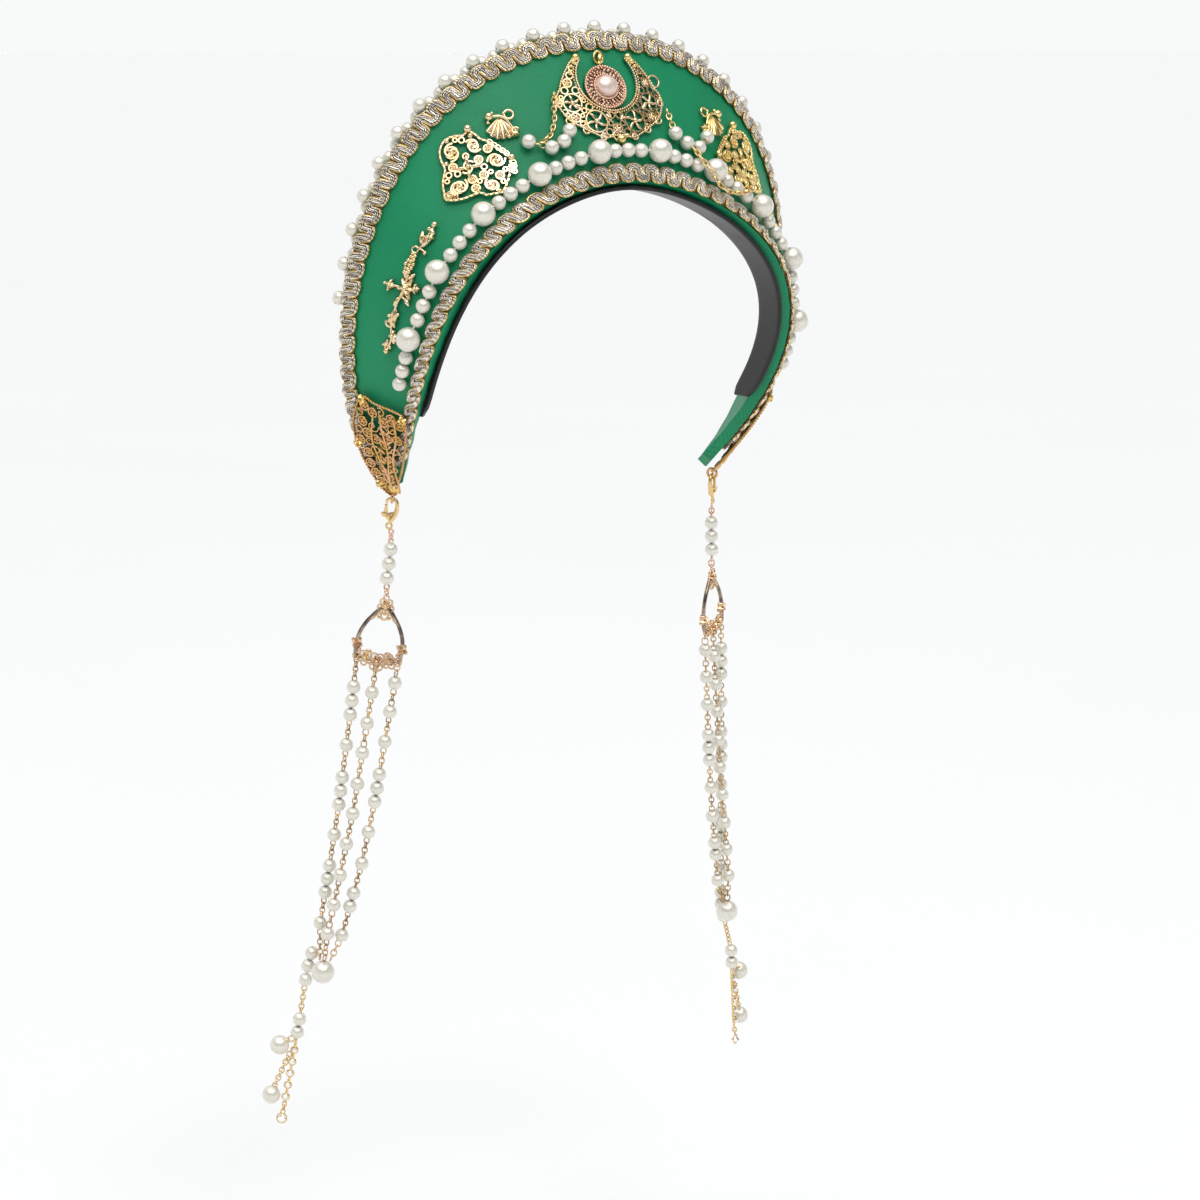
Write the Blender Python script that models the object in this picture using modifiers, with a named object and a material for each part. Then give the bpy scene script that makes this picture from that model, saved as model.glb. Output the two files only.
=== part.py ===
"""French hood: a satin-covered crescent halo on a headband, edged with gimp braid and
pearls, with gilt filigree on its face and a pearl drop clasped to each tip.

Units are metres, +Z is up, the front faces -Y and the wearer's right is -X.
The origin is at the underside of the headband, at the top of the head.
Dimensions below are in millimetres and are turned into metres by MM.
"""
import math

import bmesh
import bpy
from mathutils import Matrix, Vector

MM = 0.001

# Edges of the face, as angles swept from the top and lengths
FACE_Y = -8.5
FACE_Z = 2.55
INNER_SWEEP = math.radians(114.9)
INNER_RISE = (118.0, -21.0)
INNER_HALF = (77.4, -8.46)
INNER_LEAN = (0.155, 0.00495)
OUTER_SWEEP = math.radians(139.6)
OUTER_RISE = (111.1, 0.86)
OUTER_HALF = (108.9, 2.82)
OUTER_LEAN = (-0.2417, -0.0001735)
OUTER_BACK = 28.0
OUTER_UP = 61.5

# Halo and headband
HALO_THICK = 5.0
HALO_END = 0.966
HALO_INNER_MARGIN = 1.0
HALO_OUTER_MARGIN = 2.0
HALO_STEPS = 50
HALO_BEVEL = 1.6
BAND_WIDTH = 16.0
BAND_THICK = 1.8
BAND_END = 0.86
BAND_STEPS = 26
SEAT_GAP = 0.3

# Gimp braid
BRAID_HALF = 4.2
BRAID_THICK = 1.9
BRAID_SEAT = 0.42
BRAID_STEPS = HALO_STEPS - 2
BRAID_END = HALO_END * BRAID_STEPS / HALO_STEPS

# Pearls
PEARL_SMALL = 3.0
PEARL_LARGE = 5.0
STRING_LINE = 13.4
STRING_PEARL_GAP = 0.04
SMALL_BETWEEN_LARGE = 3
LARGE_A_SIDE = 5
THREAD = 0.9
SMALL_RINGS = ((-0.42, 0.96), (0.42, 0.96))
LARGE_RINGS = ((-0.74, 0.70), (0.0, 1.01), (0.74, 0.70))
EDGING_OUT = 1.4
EDGING_END = 0.625
EDGING_PITCH = 14.5

# Filigree
PLATE_THICK = 1.2
PLATE_LIFT = 0.8
CRESCENT_LINE = 42.0
CRESCENT_SHIFT = -1.3
MEDALLION_SHIFT = -2.8
FILIGREE_SHARE = 0.335
FILIGREE_LINE = 34.0

# Drops: the plane that each hangs in, seen from its top
DROP_TOP = (79.1, 61.2, -131.0)
DROP_DOWN = (0.125, 0.125, -0.9843)
DROP_ACROSS = (-0.8311, -0.5286, -0.1727)
STRAND_RADIUS = 2.4

GILT = (0.78, 0.62, 0.36)
DEEP_GILT = (0.72, 0.47, 0.16)
ROSE_GILT = (0.80, 0.52, 0.38)
IVORY = (0.90, 0.87, 0.78)
PINK = (0.93, 0.74, 0.70)
BRAID = (0.72, 0.62, 0.48)
SATIN = (0.03, 0.36, 0.20)
BLACK = (0.02, 0.02, 0.02)
CRYSTAL = (0.86, 0.84, 0.80)

for ob in list(bpy.data.objects):
    bpy.data.objects.remove(ob, do_unlink=True)

hood = bpy.data.collections.new("french_hood")
bpy.context.scene.collection.children.link(hood)


def make_material(name, color, metallic, roughness):
    mat = bpy.data.materials.new(name)
    mat.use_nodes = True
    shader = mat.node_tree.nodes["Principled BSDF"]
    shader.inputs["Base Color"].default_value = (*color, 1.0)
    shader.inputs["Metallic"].default_value = metallic
    shader.inputs["Roughness"].default_value = roughness
    mat.diffuse_color = (*color, 1.0)
    return mat


def finish_object(ob, name, color, metallic=0.0, roughness=0.5):
    """Name the object and its mesh, give it its material and keep it in the hood."""
    ob.name = name
    ob.data.name = name
    ob.data.materials.clear()
    ob.data.materials.append(make_material(name, color, metallic, roughness))
    for col in list(ob.users_collection):
        col.objects.unlink(ob)
    hood.objects.link(ob)
    return ob


def object_from_bmesh(bm, name="piece"):
    mesh = bpy.data.meshes.new(name)
    bmesh.ops.recalc_face_normals(bm, faces=bm.faces)
    bm.to_mesh(mesh)
    bm.free()
    ob = bpy.data.objects.new(name, mesh)
    hood.objects.link(ob)
    return ob


def applied(ob):
    """Replace the object's mesh by the one that its modifiers make."""
    bpy.context.view_layer.update()
    graph = bpy.context.evaluated_depsgraph_get()
    mesh = bpy.data.meshes.new_from_object(ob.evaluated_get(graph))
    ob.modifiers.clear()
    if ob.type == "CURVE":
        made = bpy.data.objects.new(ob.name, mesh)
        hood.objects.link(made)
        bpy.data.objects.remove(ob, do_unlink=True)
        ob = made
    else:
        ob.data = mesh
    bm = bmesh.new()
    bm.from_mesh(ob.data)
    bmesh.ops.remove_doubles(bm, verts=bm.verts, dist=0.00002)
    bmesh.ops.recalc_face_normals(bm, faces=bm.faces)
    bm.to_mesh(ob.data)
    bm.free()
    return ob


def joined(objects):
    """One object holding the meshes of several, each still a shell of its own."""
    bm = bmesh.new()
    for ob in objects:
        bm.from_mesh(ob.data)
        bpy.data.objects.remove(ob, do_unlink=True)
    return object_from_bmesh(bm)


def fused(objects):
    """Union of closed shells that overlap, as one closed body."""
    base = objects[0]
    other = joined(objects[1:])
    mod = base.modifiers.new("fuse", "BOOLEAN")
    mod.operation = "UNION"
    mod.solver = "EXACT"
    mod.use_self = True
    mod.object = other
    base = applied(base)
    bpy.data.objects.remove(other, do_unlink=True)
    return base


def mirrored(ob, name, color, metallic, roughness):
    """Copy for the wearer's left, made from the piece on the wearer's right."""
    bm = bmesh.new()
    bm.from_mesh(ob.data)
    for v in bm.verts:
        v.co.x = -v.co.x
    bmesh.ops.reverse_faces(bm, faces=bm.faces)
    return finish_object(object_from_bmesh(bm), name, color, metallic, roughness)


# Face of the halo: share runs -1 to 1 from the wearer's right tip to the left tip
def inner_edge(share):
    t = share * INNER_SWEEP
    z = -INNER_RISE[0] * (1 - math.cos(t)) - INNER_RISE[1] * (1 - math.cos(2 * t))
    x = INNER_HALF[0] * math.sin(t) + INNER_HALF[1] * math.sin(3 * t)
    return Vector((x, INNER_LEAN[0] * z + INNER_LEAN[1] * z * z + FACE_Y, z + FACE_Z))


def outer_edge(share):
    t = share * OUTER_SWEEP
    z = -OUTER_RISE[0] * (1 - math.cos(t)) - OUTER_RISE[1] * (1 - math.cos(2 * t))
    x = OUTER_HALF[0] * math.sin(t) + OUTER_HALF[1] * math.sin(3 * t)
    y = OUTER_BACK + OUTER_LEAN[0] * z + OUTER_LEAN[1] * z * z
    return Vector((x, y + FACE_Y, z + OUTER_UP + FACE_Z))


def face_width(share):
    return (outer_edge(share) - inner_edge(share)).length


def face_flat(share, line):
    a = inner_edge(share)
    b = outer_edge(share)
    return a + (b - a) * (line / (b - a).length)


def face_normal(share, line):
    step = 0.002
    along = face_flat(share + step, line) - face_flat(share - step, line)
    across = outer_edge(share) - inner_edge(share)
    n = along.cross(across).normalized()
    return n if n.y < 0 else -n


def face_point(share, line, lift):
    """Point at a distance from the inner edge and a height off the satin, in mm."""
    return face_flat(share, line) + face_normal(share, line) * lift


class FaceSpot:
    """Flat drawing laid on the curved face: x runs to the wearer's left, y outwards."""

    def __init__(self, share, line, turn=0.0, shift=0.0):
        self.share = share
        self.line = line
        self.turn = math.radians(turn)
        self.shift = shift
        self.centre = face_flat(share, line)
        along = face_flat(share + 0.002, line) - face_flat(share - 0.002, line)
        self.rate = along.length / 0.004
        self.up = (outer_edge(share) - inner_edge(share)).normalized()
        self.side = (along - self.up * along.dot(self.up)).normalized()

    def place(self, x, y, lift):
        c, s = math.cos(self.turn), math.sin(self.turn)
        want_x = x * c - y * s + self.shift
        want_y = x * s + y * c
        share = self.share + want_x / self.rate
        line = self.line + want_y
        for _ in range(5):
            off = face_flat(share, line) - self.centre
            share += (want_x - off.dot(self.side)) / self.rate
            line += want_y - off.dot(self.up)
        return face_point(share, line, lift)

    def lay(self, ob):
        for v in ob.data.vertices:
            v.co = self.place(v.co.x / MM, v.co.y / MM, v.co.z / MM) * MM
        ob.data.update()
        return ob


# Plane of a drop, for the wearer's right
def drop_point(down, across, out=0.0):
    top = Vector((-DROP_TOP[0], DROP_TOP[1] + FACE_Y, DROP_TOP[2] + FACE_Z))
    d = Vector((-DROP_DOWN[0], DROP_DOWN[1], DROP_DOWN[2])).normalized()
    a = Vector((-DROP_ACROSS[0], DROP_ACROSS[1], DROP_ACROSS[2]))
    a = (a - d * a.dot(d)).normalized()
    n = a.cross(d).normalized()
    if n.y > 0:
        n = -n
    return top + d * down + a * across + n * out


def lay_on_drop(ob):
    """Drawing in x across, y down and z towards the viewer, placed in the drop."""
    for v in ob.data.vertices:
        v.co = drop_point(v.co.y / MM, v.co.x / MM, v.co.z / MM) * MM
    bm = bmesh.new()
    bm.from_mesh(ob.data)
    bmesh.ops.recalc_face_normals(bm, faces=bm.faces)
    bm.to_mesh(ob.data)
    bm.free()
    return ob


def tube(points, resolution=2, closed=False):
    """Round wire through (point in mm, radius in mm), capped at both ends."""
    curve = bpy.data.curves.new("wire", "CURVE")
    curve.dimensions = "3D"
    curve.bevel_depth = MM
    curve.bevel_resolution = resolution
    curve.use_fill_caps = not closed
    spline = curve.splines.new("POLY")
    spline.points.add(len(points) - 1)
    for p, (co, radius) in zip(spline.points, points):
        p.co = (co[0] * MM, co[1] * MM, co[2] * MM, 1.0)
        p.radius = radius
    spline.use_cyclic_u = closed
    ob = bpy.data.objects.new("wire", curve)
    hood.objects.link(ob)
    return applied(ob)


def ring(centre, radius, wire, steps=12, resolution=1, plane=((1, 0, 0), (0, 1, 0))):
    u, v = Vector(plane[0]), Vector(plane[1])
    c = Vector(centre)
    points = []
    for k in range(steps):
        a = math.tau * k / steps
        points.append((c + u * radius * math.cos(a) + v * radius * math.sin(a), wire))
    return tube(points, resolution, closed=True)


def ball(centre, radius, segments=12, rings=8, squash=1.0):
    bm = bmesh.new()
    bmesh.ops.create_uvsphere(bm, u_segments=segments, v_segments=rings, radius=radius * MM)
    bmesh.ops.scale(bm, vec=(1, 1, squash), verts=bm.verts)
    bmesh.ops.translate(bm, vec=Vector(centre) * MM, verts=bm.verts)
    return object_from_bmesh(bm)


def knob(centre, radius):
    bm = bmesh.new()
    bmesh.ops.create_icosphere(bm, subdivisions=1, radius=radius * MM)
    bmesh.ops.translate(bm, vec=Vector(centre) * MM, verts=bm.verts)
    return object_from_bmesh(bm)


def bead_points(centres, radii, thread):
    """Rings of a string: each bead is turned about the line of the string."""
    points = []
    last = len(centres) - 1
    for k, (c, r) in enumerate(zip(centres, radii)):
        before = centres[max(k - 1, 0)]
        after = centres[min(k + 1, last)]
        along = (after - before).normalized()
        if r <= 1.0:
            points.append((c, r))
            continue
        neck = math.sqrt(r * r - thread * thread)
        points.append((c - along * neck, thread))
        for offset, width in SMALL_RINGS if r <= PEARL_SMALL else LARGE_RINGS:
            points.append((c + along * offset * r, r * width))
        points.append((c + along * neck, thread))
    merged = [points[0]]
    for co, r in points[1:]:
        if (co - merged[-1][0]).length > 1.1:
            merged.append((co, r))
    return merged


def plate(outline, holes, thick, lift, relief=0.0):
    """Pierced plate: outline and holes in mm, cut through, raised round the holes."""
    curve = bpy.data.curves.new("plate", "CURVE")
    curve.dimensions = "2D"
    curve.fill_mode = "BOTH"
    curve.extrude = 0.5 * thick * MM
    rims = set()
    for n, loop in enumerate([outline] + holes):
        spline = curve.splines.new("POLY")
        spline.points.add(len(loop) - 1)
        for p, (x, y) in zip(spline.points, loop):
            p.co = (x * MM, y * MM, 0.0, 1.0)
            if n:
                rims.add((round(x, 3), round(y, 3)))
        spline.use_cyclic_u = True
    ob = bpy.data.objects.new("plate", curve)
    hood.objects.link(ob)
    ob = applied(ob)
    bm = bmesh.new()
    bm.from_mesh(ob.data)
    bmesh.ops.triangulate(bm, faces=bm.faces)
    flat = [f for f in bm.faces if abs(f.normal.z) > 0.9]
    inner = [e for e in bm.edges if all(f in flat for f in e.link_faces)]
    bmesh.ops.beautify_fill(bm, faces=flat, edges=inner, use_restrict_tag=False, method="AREA")
    bm.to_mesh(ob.data)
    bm.free()
    for v in ob.data.vertices:
        front = v.co.z > 0
        v.co.z += (0.5 * thick + lift) * MM
        if front and (round(v.co.x / MM, 3), round(v.co.y / MM, 3)) in rims:
            v.co.z += relief * MM
    return ob


def oval(x, y, radius, stretch=1.0, angle=0.0, steps=5):
    """Outline of a gap, turned by an angle in degrees."""
    a = math.radians(angle)
    out = []
    for k in range(steps):
        t = math.tau * (k + 0.5) / steps
        u = radius * stretch * math.cos(t)
        v = radius * math.sin(t)
        out.append((x + u * math.cos(a) - v * math.sin(a), y + u * math.sin(a) + v * math.cos(a)))
    return out


def boss(x, y, reach, petals, depth, height, lift, steps, turn=0.0):
    """Small domed flower or leaf, flat behind and peaked in front."""
    bm = bmesh.new()
    rim_low, rim_high = [], []
    for k in range(steps):
        a = math.tau * k / steps
        r = reach * (1 - depth * (0.5 - 0.5 * math.cos(petals * a)))
        px = x + r * math.cos(a + math.radians(turn))
        py = y + r * math.sin(a + math.radians(turn))
        rim_low.append(bm.verts.new(Vector((px, py, lift)) * MM))
        rim_high.append(bm.verts.new(Vector((px, py, lift + 0.45 * height)) * MM))
    peak = bm.verts.new(Vector((x, y, lift + height)) * MM)
    for k in range(steps):
        n = (k + 1) % steps
        bm.faces.new((rim_low[k], rim_low[n], rim_high[n], rim_high[k]))
        bm.faces.new((rim_high[k], rim_high[n], peak))
    bm.faces.new(rim_low)
    return object_from_bmesh(bm)


def strip(steps, rows, where):
    """Grid of points given by where(share of length, share of width), in mm."""
    bm = bmesh.new()
    bmesh.ops.create_grid(bm, x_segments=steps, y_segments=rows, size=1.0)
    for v in bm.verts:
        v.co = where(0.5 + 0.5 * v.co.x, 0.5 + 0.5 * v.co.y) * MM
    mesh = bpy.data.meshes.new("strip")
    bm.to_mesh(mesh)
    bm.free()
    ob = bpy.data.objects.new("strip", mesh)
    hood.objects.link(ob)
    return ob


def thickened(ob, thick, offset, bevel=0.0):
    mod = ob.modifiers.new("thickness", "SOLIDIFY")
    mod.thickness = thick * MM
    mod.offset = offset
    mod.use_even_offset = True
    if bevel:
        edge = ob.modifiers.new("rims", "BEVEL")
        edge.width = bevel * MM
        edge.segments = 1
        edge.limit_method = "ANGLE"
        edge.angle_limit = math.radians(50)
    return applied(ob)


def arc_shares(line_of, end, count):
    """Shares from -end to end at equal steps of length along a line of the face."""
    fine = 400
    shares = [-end + 2 * end * k / fine for k in range(fine + 1)]
    lengths = [0.0]
    for a, b in zip(shares, shares[1:]):
        lengths.append(lengths[-1] + (face_flat(b, line_of(b)) - face_flat(a, line_of(a))).length)
    out = []
    k = 0
    for n in range(count + 1):
        want = lengths[-1] * n / count
        while k < fine - 1 and lengths[k + 1] < want:
            k += 1
        f = (want - lengths[k]) / (lengths[k + 1] - lengths[k])
        out.append(shares[k] + (shares[k + 1] - shares[k]) * f)
    return out, lengths[-1]


# Halo: stiff padded crescent covered in satin
def halo_point(f, g):
    share = HALO_END * (2 * f - 1)
    low = HALO_INNER_MARGIN
    high = face_width(share) - HALO_OUTER_MARGIN
    return face_point(share, low + (high - low) * g, 0.0)


halo = strip(HALO_STEPS, 3, halo_point)
halo = thickened(halo, HALO_THICK, -1.0, bevel=HALO_BEVEL)
finish_object(halo, "hood_halo", SATIN, 0.0, 0.45)


# Headband: springy strip that sits on the head under the inner rim
def band_point(f, g):
    share = BAND_END * (2 * f - 1)
    edge = inner_edge(share)
    along = (inner_edge(share + 0.002) - inner_edge(share - 0.002)).normalized()
    inward = Vector((0, 1, 0)).cross(along).normalized()
    rim = [
        face_point(share, HALO_INNER_MARGIN, -HALO_BEVEL),
        face_point(share, HALO_INNER_MARGIN, HALO_BEVEL - HALO_THICK),
        face_point(share, HALO_INNER_MARGIN + HALO_BEVEL, -HALO_THICK),
    ]
    drop = SEAT_GAP + max((p - edge).dot(inward) for p in rim)
    return edge + inward * drop + Vector((0, 0.5 + BAND_WIDTH * g, 0))


band = strip(BAND_STEPS, 1, band_point)
band = thickened(band, BAND_THICK, -1.0)
finish_object(band, "headband", BLACK, 0.0, 0.25)


# Gimp braid along both edges, each a flat woven band
def make_braid(name, line_of):
    def point(f, g):
        share = BRAID_END * (2 * f - 1)
        return face_point(share, line_of(share) + BRAID_HALF * (2 * g - 1), BRAID_SEAT)

    braid = thickened(strip(BRAID_STEPS, 1, point), BRAID_THICK, 1.0)
    return finish_object(braid, name, BRAID, 0.6, 0.4)


make_braid("outer_braid", lambda share: face_width(share) - 4.5)
make_braid("inner_braid", lambda share: 4.5)


# Pearl edging sewn along the outer rim, behind the braid
def edging_line(share):
    return face_width(share) + EDGING_OUT


shares, length = arc_shares(edging_line, EDGING_END, 10)
count = 2 * round(length / EDGING_PITCH / 2)
shares = arc_shares(edging_line, EDGING_END, count)[0]
points = []
for k, share in enumerate(shares):
    points.append((face_point(share, edging_line(share), -0.5 * HALO_THICK), 2.6))
finish_object(tube(points, 1), "outer_pearl_edging", IVORY, 0.0, 0.2)


# Inner pearl string: a small pearl at the centre, then large ones with three between
def string_layout():
    """Distances from the centre along the string, on the wearer's left."""
    radii = [PEARL_SMALL, PEARL_SMALL]
    for n in range(LARGE_A_SIDE):
        radii.append(PEARL_LARGE)
        radii += [PEARL_SMALL] * SMALL_BETWEEN_LARGE
    distance = [0.0]
    for a, b in zip(radii, radii[1:]):
        distance.append(distance[-1] + a + b + STRING_PEARL_GAP)
    return radii, distance


radii, distance = string_layout()
shares, length = arc_shares(lambda share: STRING_LINE, 0.95, 800)
middle = 400
step = length / 800


def share_at(reach):
    k = middle + reach / step
    low = int(math.floor(k))
    return shares[low] + (shares[low + 1] - shares[low]) * (k - low)


places = [(-d, r) for d, r in zip(distance, radii)][::-1][:-1] + list(zip(distance, radii))
centres = [face_point(share_at(d), STRING_LINE, r + SEAT_GAP) for d, r in places]
points = bead_points(centres, [r for d, r in places], THREAD)
finish_object(tube(points, 3), "inner_pearl_string", IVORY, 0.0, 0.2)

# Centre crescent: pierced half, drawn for the left and mirrored in the drawing
CRESCENT_OUTER = (
    # x, y from the crescent's centre, tip first
    (13.0, 13.6),
    (18.6, 7.0),
    (22.4, -0.4),
    (24.6, -4.8),
    (23.6, -9.4),
    (20.6, -14.0),
    (16.0, -17.2),
    (10.8, -20.4),
    (6.2, -22.6),
    (2.6, -21.6),
)
CRESCENT_GAPS = (
    # x, y, radius, stretch, angle
    (17.0, 4.8, 0.9, 1.8, 118),
    (20.6, -2.0, 1.2, 1.5, 100),
    (17.6, -7.0, 1.3, 1.4, 150),
    (20.0, -10.6, 1.3, 1.3, 110),
    (14.2, -12.6, 1.3, 1.6, 50),
    (11.6, -17.0, 1.2, 1.5, 0),
    (7.2, -16.2, 1.2, 1.6, 130),
    (4.2, -12.6, 1.1, 1.4, 15),
)
NOTCH_RADIUS = 14.0
NOTCH_RISE = 3.6
NOTCH_OPEN = math.radians(40)
NOTCH_STEPS = 8

right_half = list(CRESCENT_OUTER)
outline = right_half + [(-x, y) for x, y in right_half[::-1]]
for k in range(NOTCH_STEPS + 1):
    a = math.pi - NOTCH_OPEN + (math.pi + 2 * NOTCH_OPEN) * k / NOTCH_STEPS
    outline.append((NOTCH_RADIUS * math.cos(a), NOTCH_RISE + NOTCH_RADIUS * math.sin(a)))
gaps = []
for x, y, r, stretch, angle in CRESCENT_GAPS:
    gaps.append(oval(x, y, r, stretch, angle))
    gaps.append(oval(-x, y, r, stretch, 180 - angle))
crescent = plate(outline, gaps, PLATE_THICK, PLATE_LIFT, relief=0.5)
pieces = [crescent]
pieces.append(ring((0, -21.6, 1.3), 2.7, 0.55, 8, 0))
pieces.append(ring((23.2, 3.2, 1.3), 2.6, 0.5, 8, 0))
pieces.append(knob((0, -24.6, 2.0), 1.3))
crescent = fused(pieces)
FaceSpot(0.0, CRESCENT_LINE, shift=CRESCENT_SHIFT).lay(crescent)
finish_object(crescent, "centre_crescent", GILT, 0.9, 0.3)

# Medallion: turned setting with a beaded rim round a pink pearl
MEDALLION_PROFILE = (
    # radius, height off the satin
    (0.0, 0.3),
    (9.6, 0.3),
    (9.6, 2.2),
    (8.3, 2.6),
    (7.2, 2.0),
    (5.4, 2.7),
    (4.9, 1.8),
    (0.0, 1.8),
)
MEDALLION_SIDES = 18


def lathe(profile, sides):
    curve = bpy.data.meshes.new("profile")
    bm = bmesh.new()
    verts = [bm.verts.new((r * MM, 0, z * MM)) for r, z in profile[::-1]]
    for a, b in zip(verts, verts[1:]):
        bm.edges.new((a, b))
    bm.to_mesh(curve)
    bm.free()
    ob = bpy.data.objects.new("lathe", curve)
    hood.objects.link(ob)
    mod = ob.modifiers.new("turn", "SCREW")
    mod.steps = sides
    mod.render_steps = sides
    mod.use_merge_vertices = True
    mod.merge_threshold = 0.00005
    return applied(ob)


medal_spot = FaceSpot(0.0, CRESCENT_LINE, shift=MEDALLION_SHIFT)
medallion = medal_spot.lay(lathe(MEDALLION_PROFILE, MEDALLION_SIDES))
finish_object(medallion, "medallion_setting", ROSE_GILT, 0.9, 0.3)
PINK_PROFILE = (
    # radius, height off the satin
    (0.0, 2.1),
    (4.4, 2.1),
    (4.6, 3.1),
    (3.9, 4.8),
    (2.2, 6.0),
    (0.0, 6.3),
)
pink = medal_spot.lay(lathe(PINK_PROFILE, 12))
finish_object(pink, "medallion_pearl", PINK, 0.0, 0.2)

bail = ring((0, 13.3, 1.2), 2.2, 0.6, 8, 1, ((0.75, 0, 0), (0, 1.2, 0)))
medal_spot.lay(bail)
finish_object(bail, "medallion_bail", GILT, 0.9, 0.3)

# Side filigree: pierced lobed panel with two beads, on the wearer's right
FILIGREE_OUTLINE = (
    # x along the face from the panel's centre, y outwards
    (8.6, 10.4),
    (9.0, 7.4),
    (8.6, 4.6),
    (9.6, 1.2),
    (9.2, -2.7),
    (9.8, -6.2),
    (9.0, -9.8),
    (5.9, -11.5),
    (3.0, -13.6),
    (-2.0, -15.4),
    (-5.3, -15.6),
    (-7.6, -13.3),
    (-9.7, -11.2),
    (-10.3, -8.4),
    (-15.8, -4.7),
    (-19.8, 0.6),
    (-18.0, 3.2),
    (-14.4, 6.5),
    (-9.8, 8.6),
    (-7.9, 11.6),
    (-4.9, 14.8),
    (-0.1, 15.9),
    (3.8, 13.6),
    (5.8, 11.0),
)
FILIGREE_GAPS = (
    # x, y, radius, stretch, angle
    (0.4, -0.4, 1.5, 1.2, 0),
    (-12.6, -1.2, 1.8, 1.5, 140),
    (-9.4, 3.8, 1.5, 1.3, 20),
    (-5.2, -10.4, 1.8, 1.4, 80),
    (-5.6, -3.8, 1.5, 1.3, 40),
    (5.8, -7.4, 1.7, 1.4, 120),
    (0.2, -7.0, 1.4, 1.3, 10),
    (6.0, -1.4, 1.4, 1.5, 80),
    (5.0, 4.6, 1.6, 1.3, 70),
    (-2.8, 11.2, 1.8, 1.3, 20),
    (-2.8, 5.4, 1.4, 1.3, 110),
)
gaps = [oval(*gap) for gap in FILIGREE_GAPS]
panel = plate(list(FILIGREE_OUTLINE), gaps, PLATE_THICK, PLATE_LIFT, relief=0.6)
filigree = fused([panel, knob((9.1, 11.1, 1.9), 1.4), knob((9.5, -10.1, 1.9), 1.4)])
FaceSpot(-FILIGREE_SHARE, FILIGREE_LINE).lay(filigree)
finish_object(filigree, "side_filigree_right", GILT, 0.9, 0.3)
mirrored(filigree, "side_filigree_left", GILT, 0.9, 0.3)

# Shell: fan with five ribs, a bead, a loop and a bud at its corners
SHELL_RIBS = 5
SHELL_SPREAD = math.radians(84)
SHELL_TOP = 3.4


def shell_point(f, g):
    a = -0.5 * SHELL_SPREAD + SHELL_SPREAD * f
    rib = abs(math.sin(math.pi * SHELL_RIBS * f))
    reach = 0.8 + (5.9 + 1.9 * math.sin(math.pi * f) + 0.7 * rib) * g
    dome = 1.2 + 0.8 * math.sin(math.pi * (0.15 + 0.7 * g)) + 0.35 * rib * g
    return Vector((reach * math.sin(a), SHELL_TOP - reach * math.cos(a), dome))


shell = strip(2 * SHELL_RIBS, 2, shell_point)
bm = bmesh.new()
bm.from_mesh(shell.data)
top = list(bm.verts)
border = [e for e in bm.edges if e.is_boundary]
made = bmesh.ops.extrude_edge_only(bm, edges=border)
low = [v for v in made["geom"] if isinstance(v, bmesh.types.BMVert)]
for v in low:
    v.co.z = PLATE_LIFT * MM
bmesh.ops.contextual_create(bm, geom=[e for e in bm.edges if e.is_boundary])
bmesh.ops.recalc_face_normals(bm, faces=bm.faces)
bm.to_mesh(shell.data)
bm.free()
parts = [shell]
parts.append(ring((3.9, 4.4, 1.5), 1.9, 0.5, 8, 0))
parts.append(knob((-4.2, 3.5, 2.0), 1.5))
parts.append(boss(5.9, -3.0, 2.6, 3, 0.2, 2.2, PLATE_LIFT, 8, 30))
parts.append(tube([(Vector((-4.0, 3.4, 1.7)), 0.6), (Vector((3.6, 2.8, 1.6)), 0.6)], 0))
parts.append(tube([(Vector((2.4, 1.6, 1.6)), 0.6), (Vector((5.4, -2.0, 1.6)), 0.6)], 0))
shell = fused(parts)
FaceSpot(-0.2485, 41.2, turn=-42).lay(shell)
finish_object(shell, "shell_ornament_right", GILT, 0.9, 0.3)
mirrored(shell, "shell_ornament_left", GILT, 0.9, 0.3)

# Flower spray: stem with leaves, two blossoms and berries, on the wearer's right
SPRAY_STEM = (
    # x along the face from the spray's centre, y outwards
    (26.4, -0.6),
    (20.0, -0.8),
    (15.9, 0.7),
    (9.9, 1.2),
    (4.0, 0.4),
    (-3.0, 0.0),
    (-9.0, 0.8),
    (-17.4, 0.0),
    (-22.0, -1.4),
    (-27.0, -0.5),
)
SPRAY_BOSSES = (
    # x, y, reach, petals, depth, turn, steps
    (21.4, -0.9, 3.9, 4, 0.5, 20, 8),
    (9.8, 1.2, 4.3, 3, 0.4, 30, 6),
    (-0.8, -0.8, 5.4, 6, 0.5, 45, 12),
    (-11.4, 0.5, 3.7, 2, 0.4, 5, 4),
    (-21.4, -1.8, 3.9, 4, 0.5, 30, 8),
    (-1.9, 6.6, 2.2, 3, 0.3, 0, 6),
)
SPRAY_BERRIES = (
    # x, y
    (26.8, -0.6),
    (15.2, -2.2),
    (15.4, 3.2),
    (0.4, -5.8),
    (-27.2, -0.5),
)
points = [(Vector((x, y, 1.5)), 0.6) for x, y in SPRAY_STEM]
parts = [tube(points, 0)]
parts.append(tube([(Vector((-1.8, 6.2, 1.5)), 0.6), (Vector((-0.9, 0.0, 1.5)), 0.6)], 0))
parts.append(tube([(Vector((15.2, -2.2, 1.5)), 0.5), (Vector((15.4, 3.2, 1.5)), 0.5)], 0))
for x, y, reach, petals, depth, turn, steps in SPRAY_BOSSES:
    parts.append(boss(x, y, reach, petals, depth, 1.7, PLATE_LIFT, steps, turn))
parts += [knob((x, y, 1.8), 1.1) for x, y in SPRAY_BERRIES]
spray = fused(parts)
FaceSpot(-0.605, 27.5, turn=-20.7).lay(spray)
finish_object(spray, "flower_spray_right", GILT, 0.9, 0.3)
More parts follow.
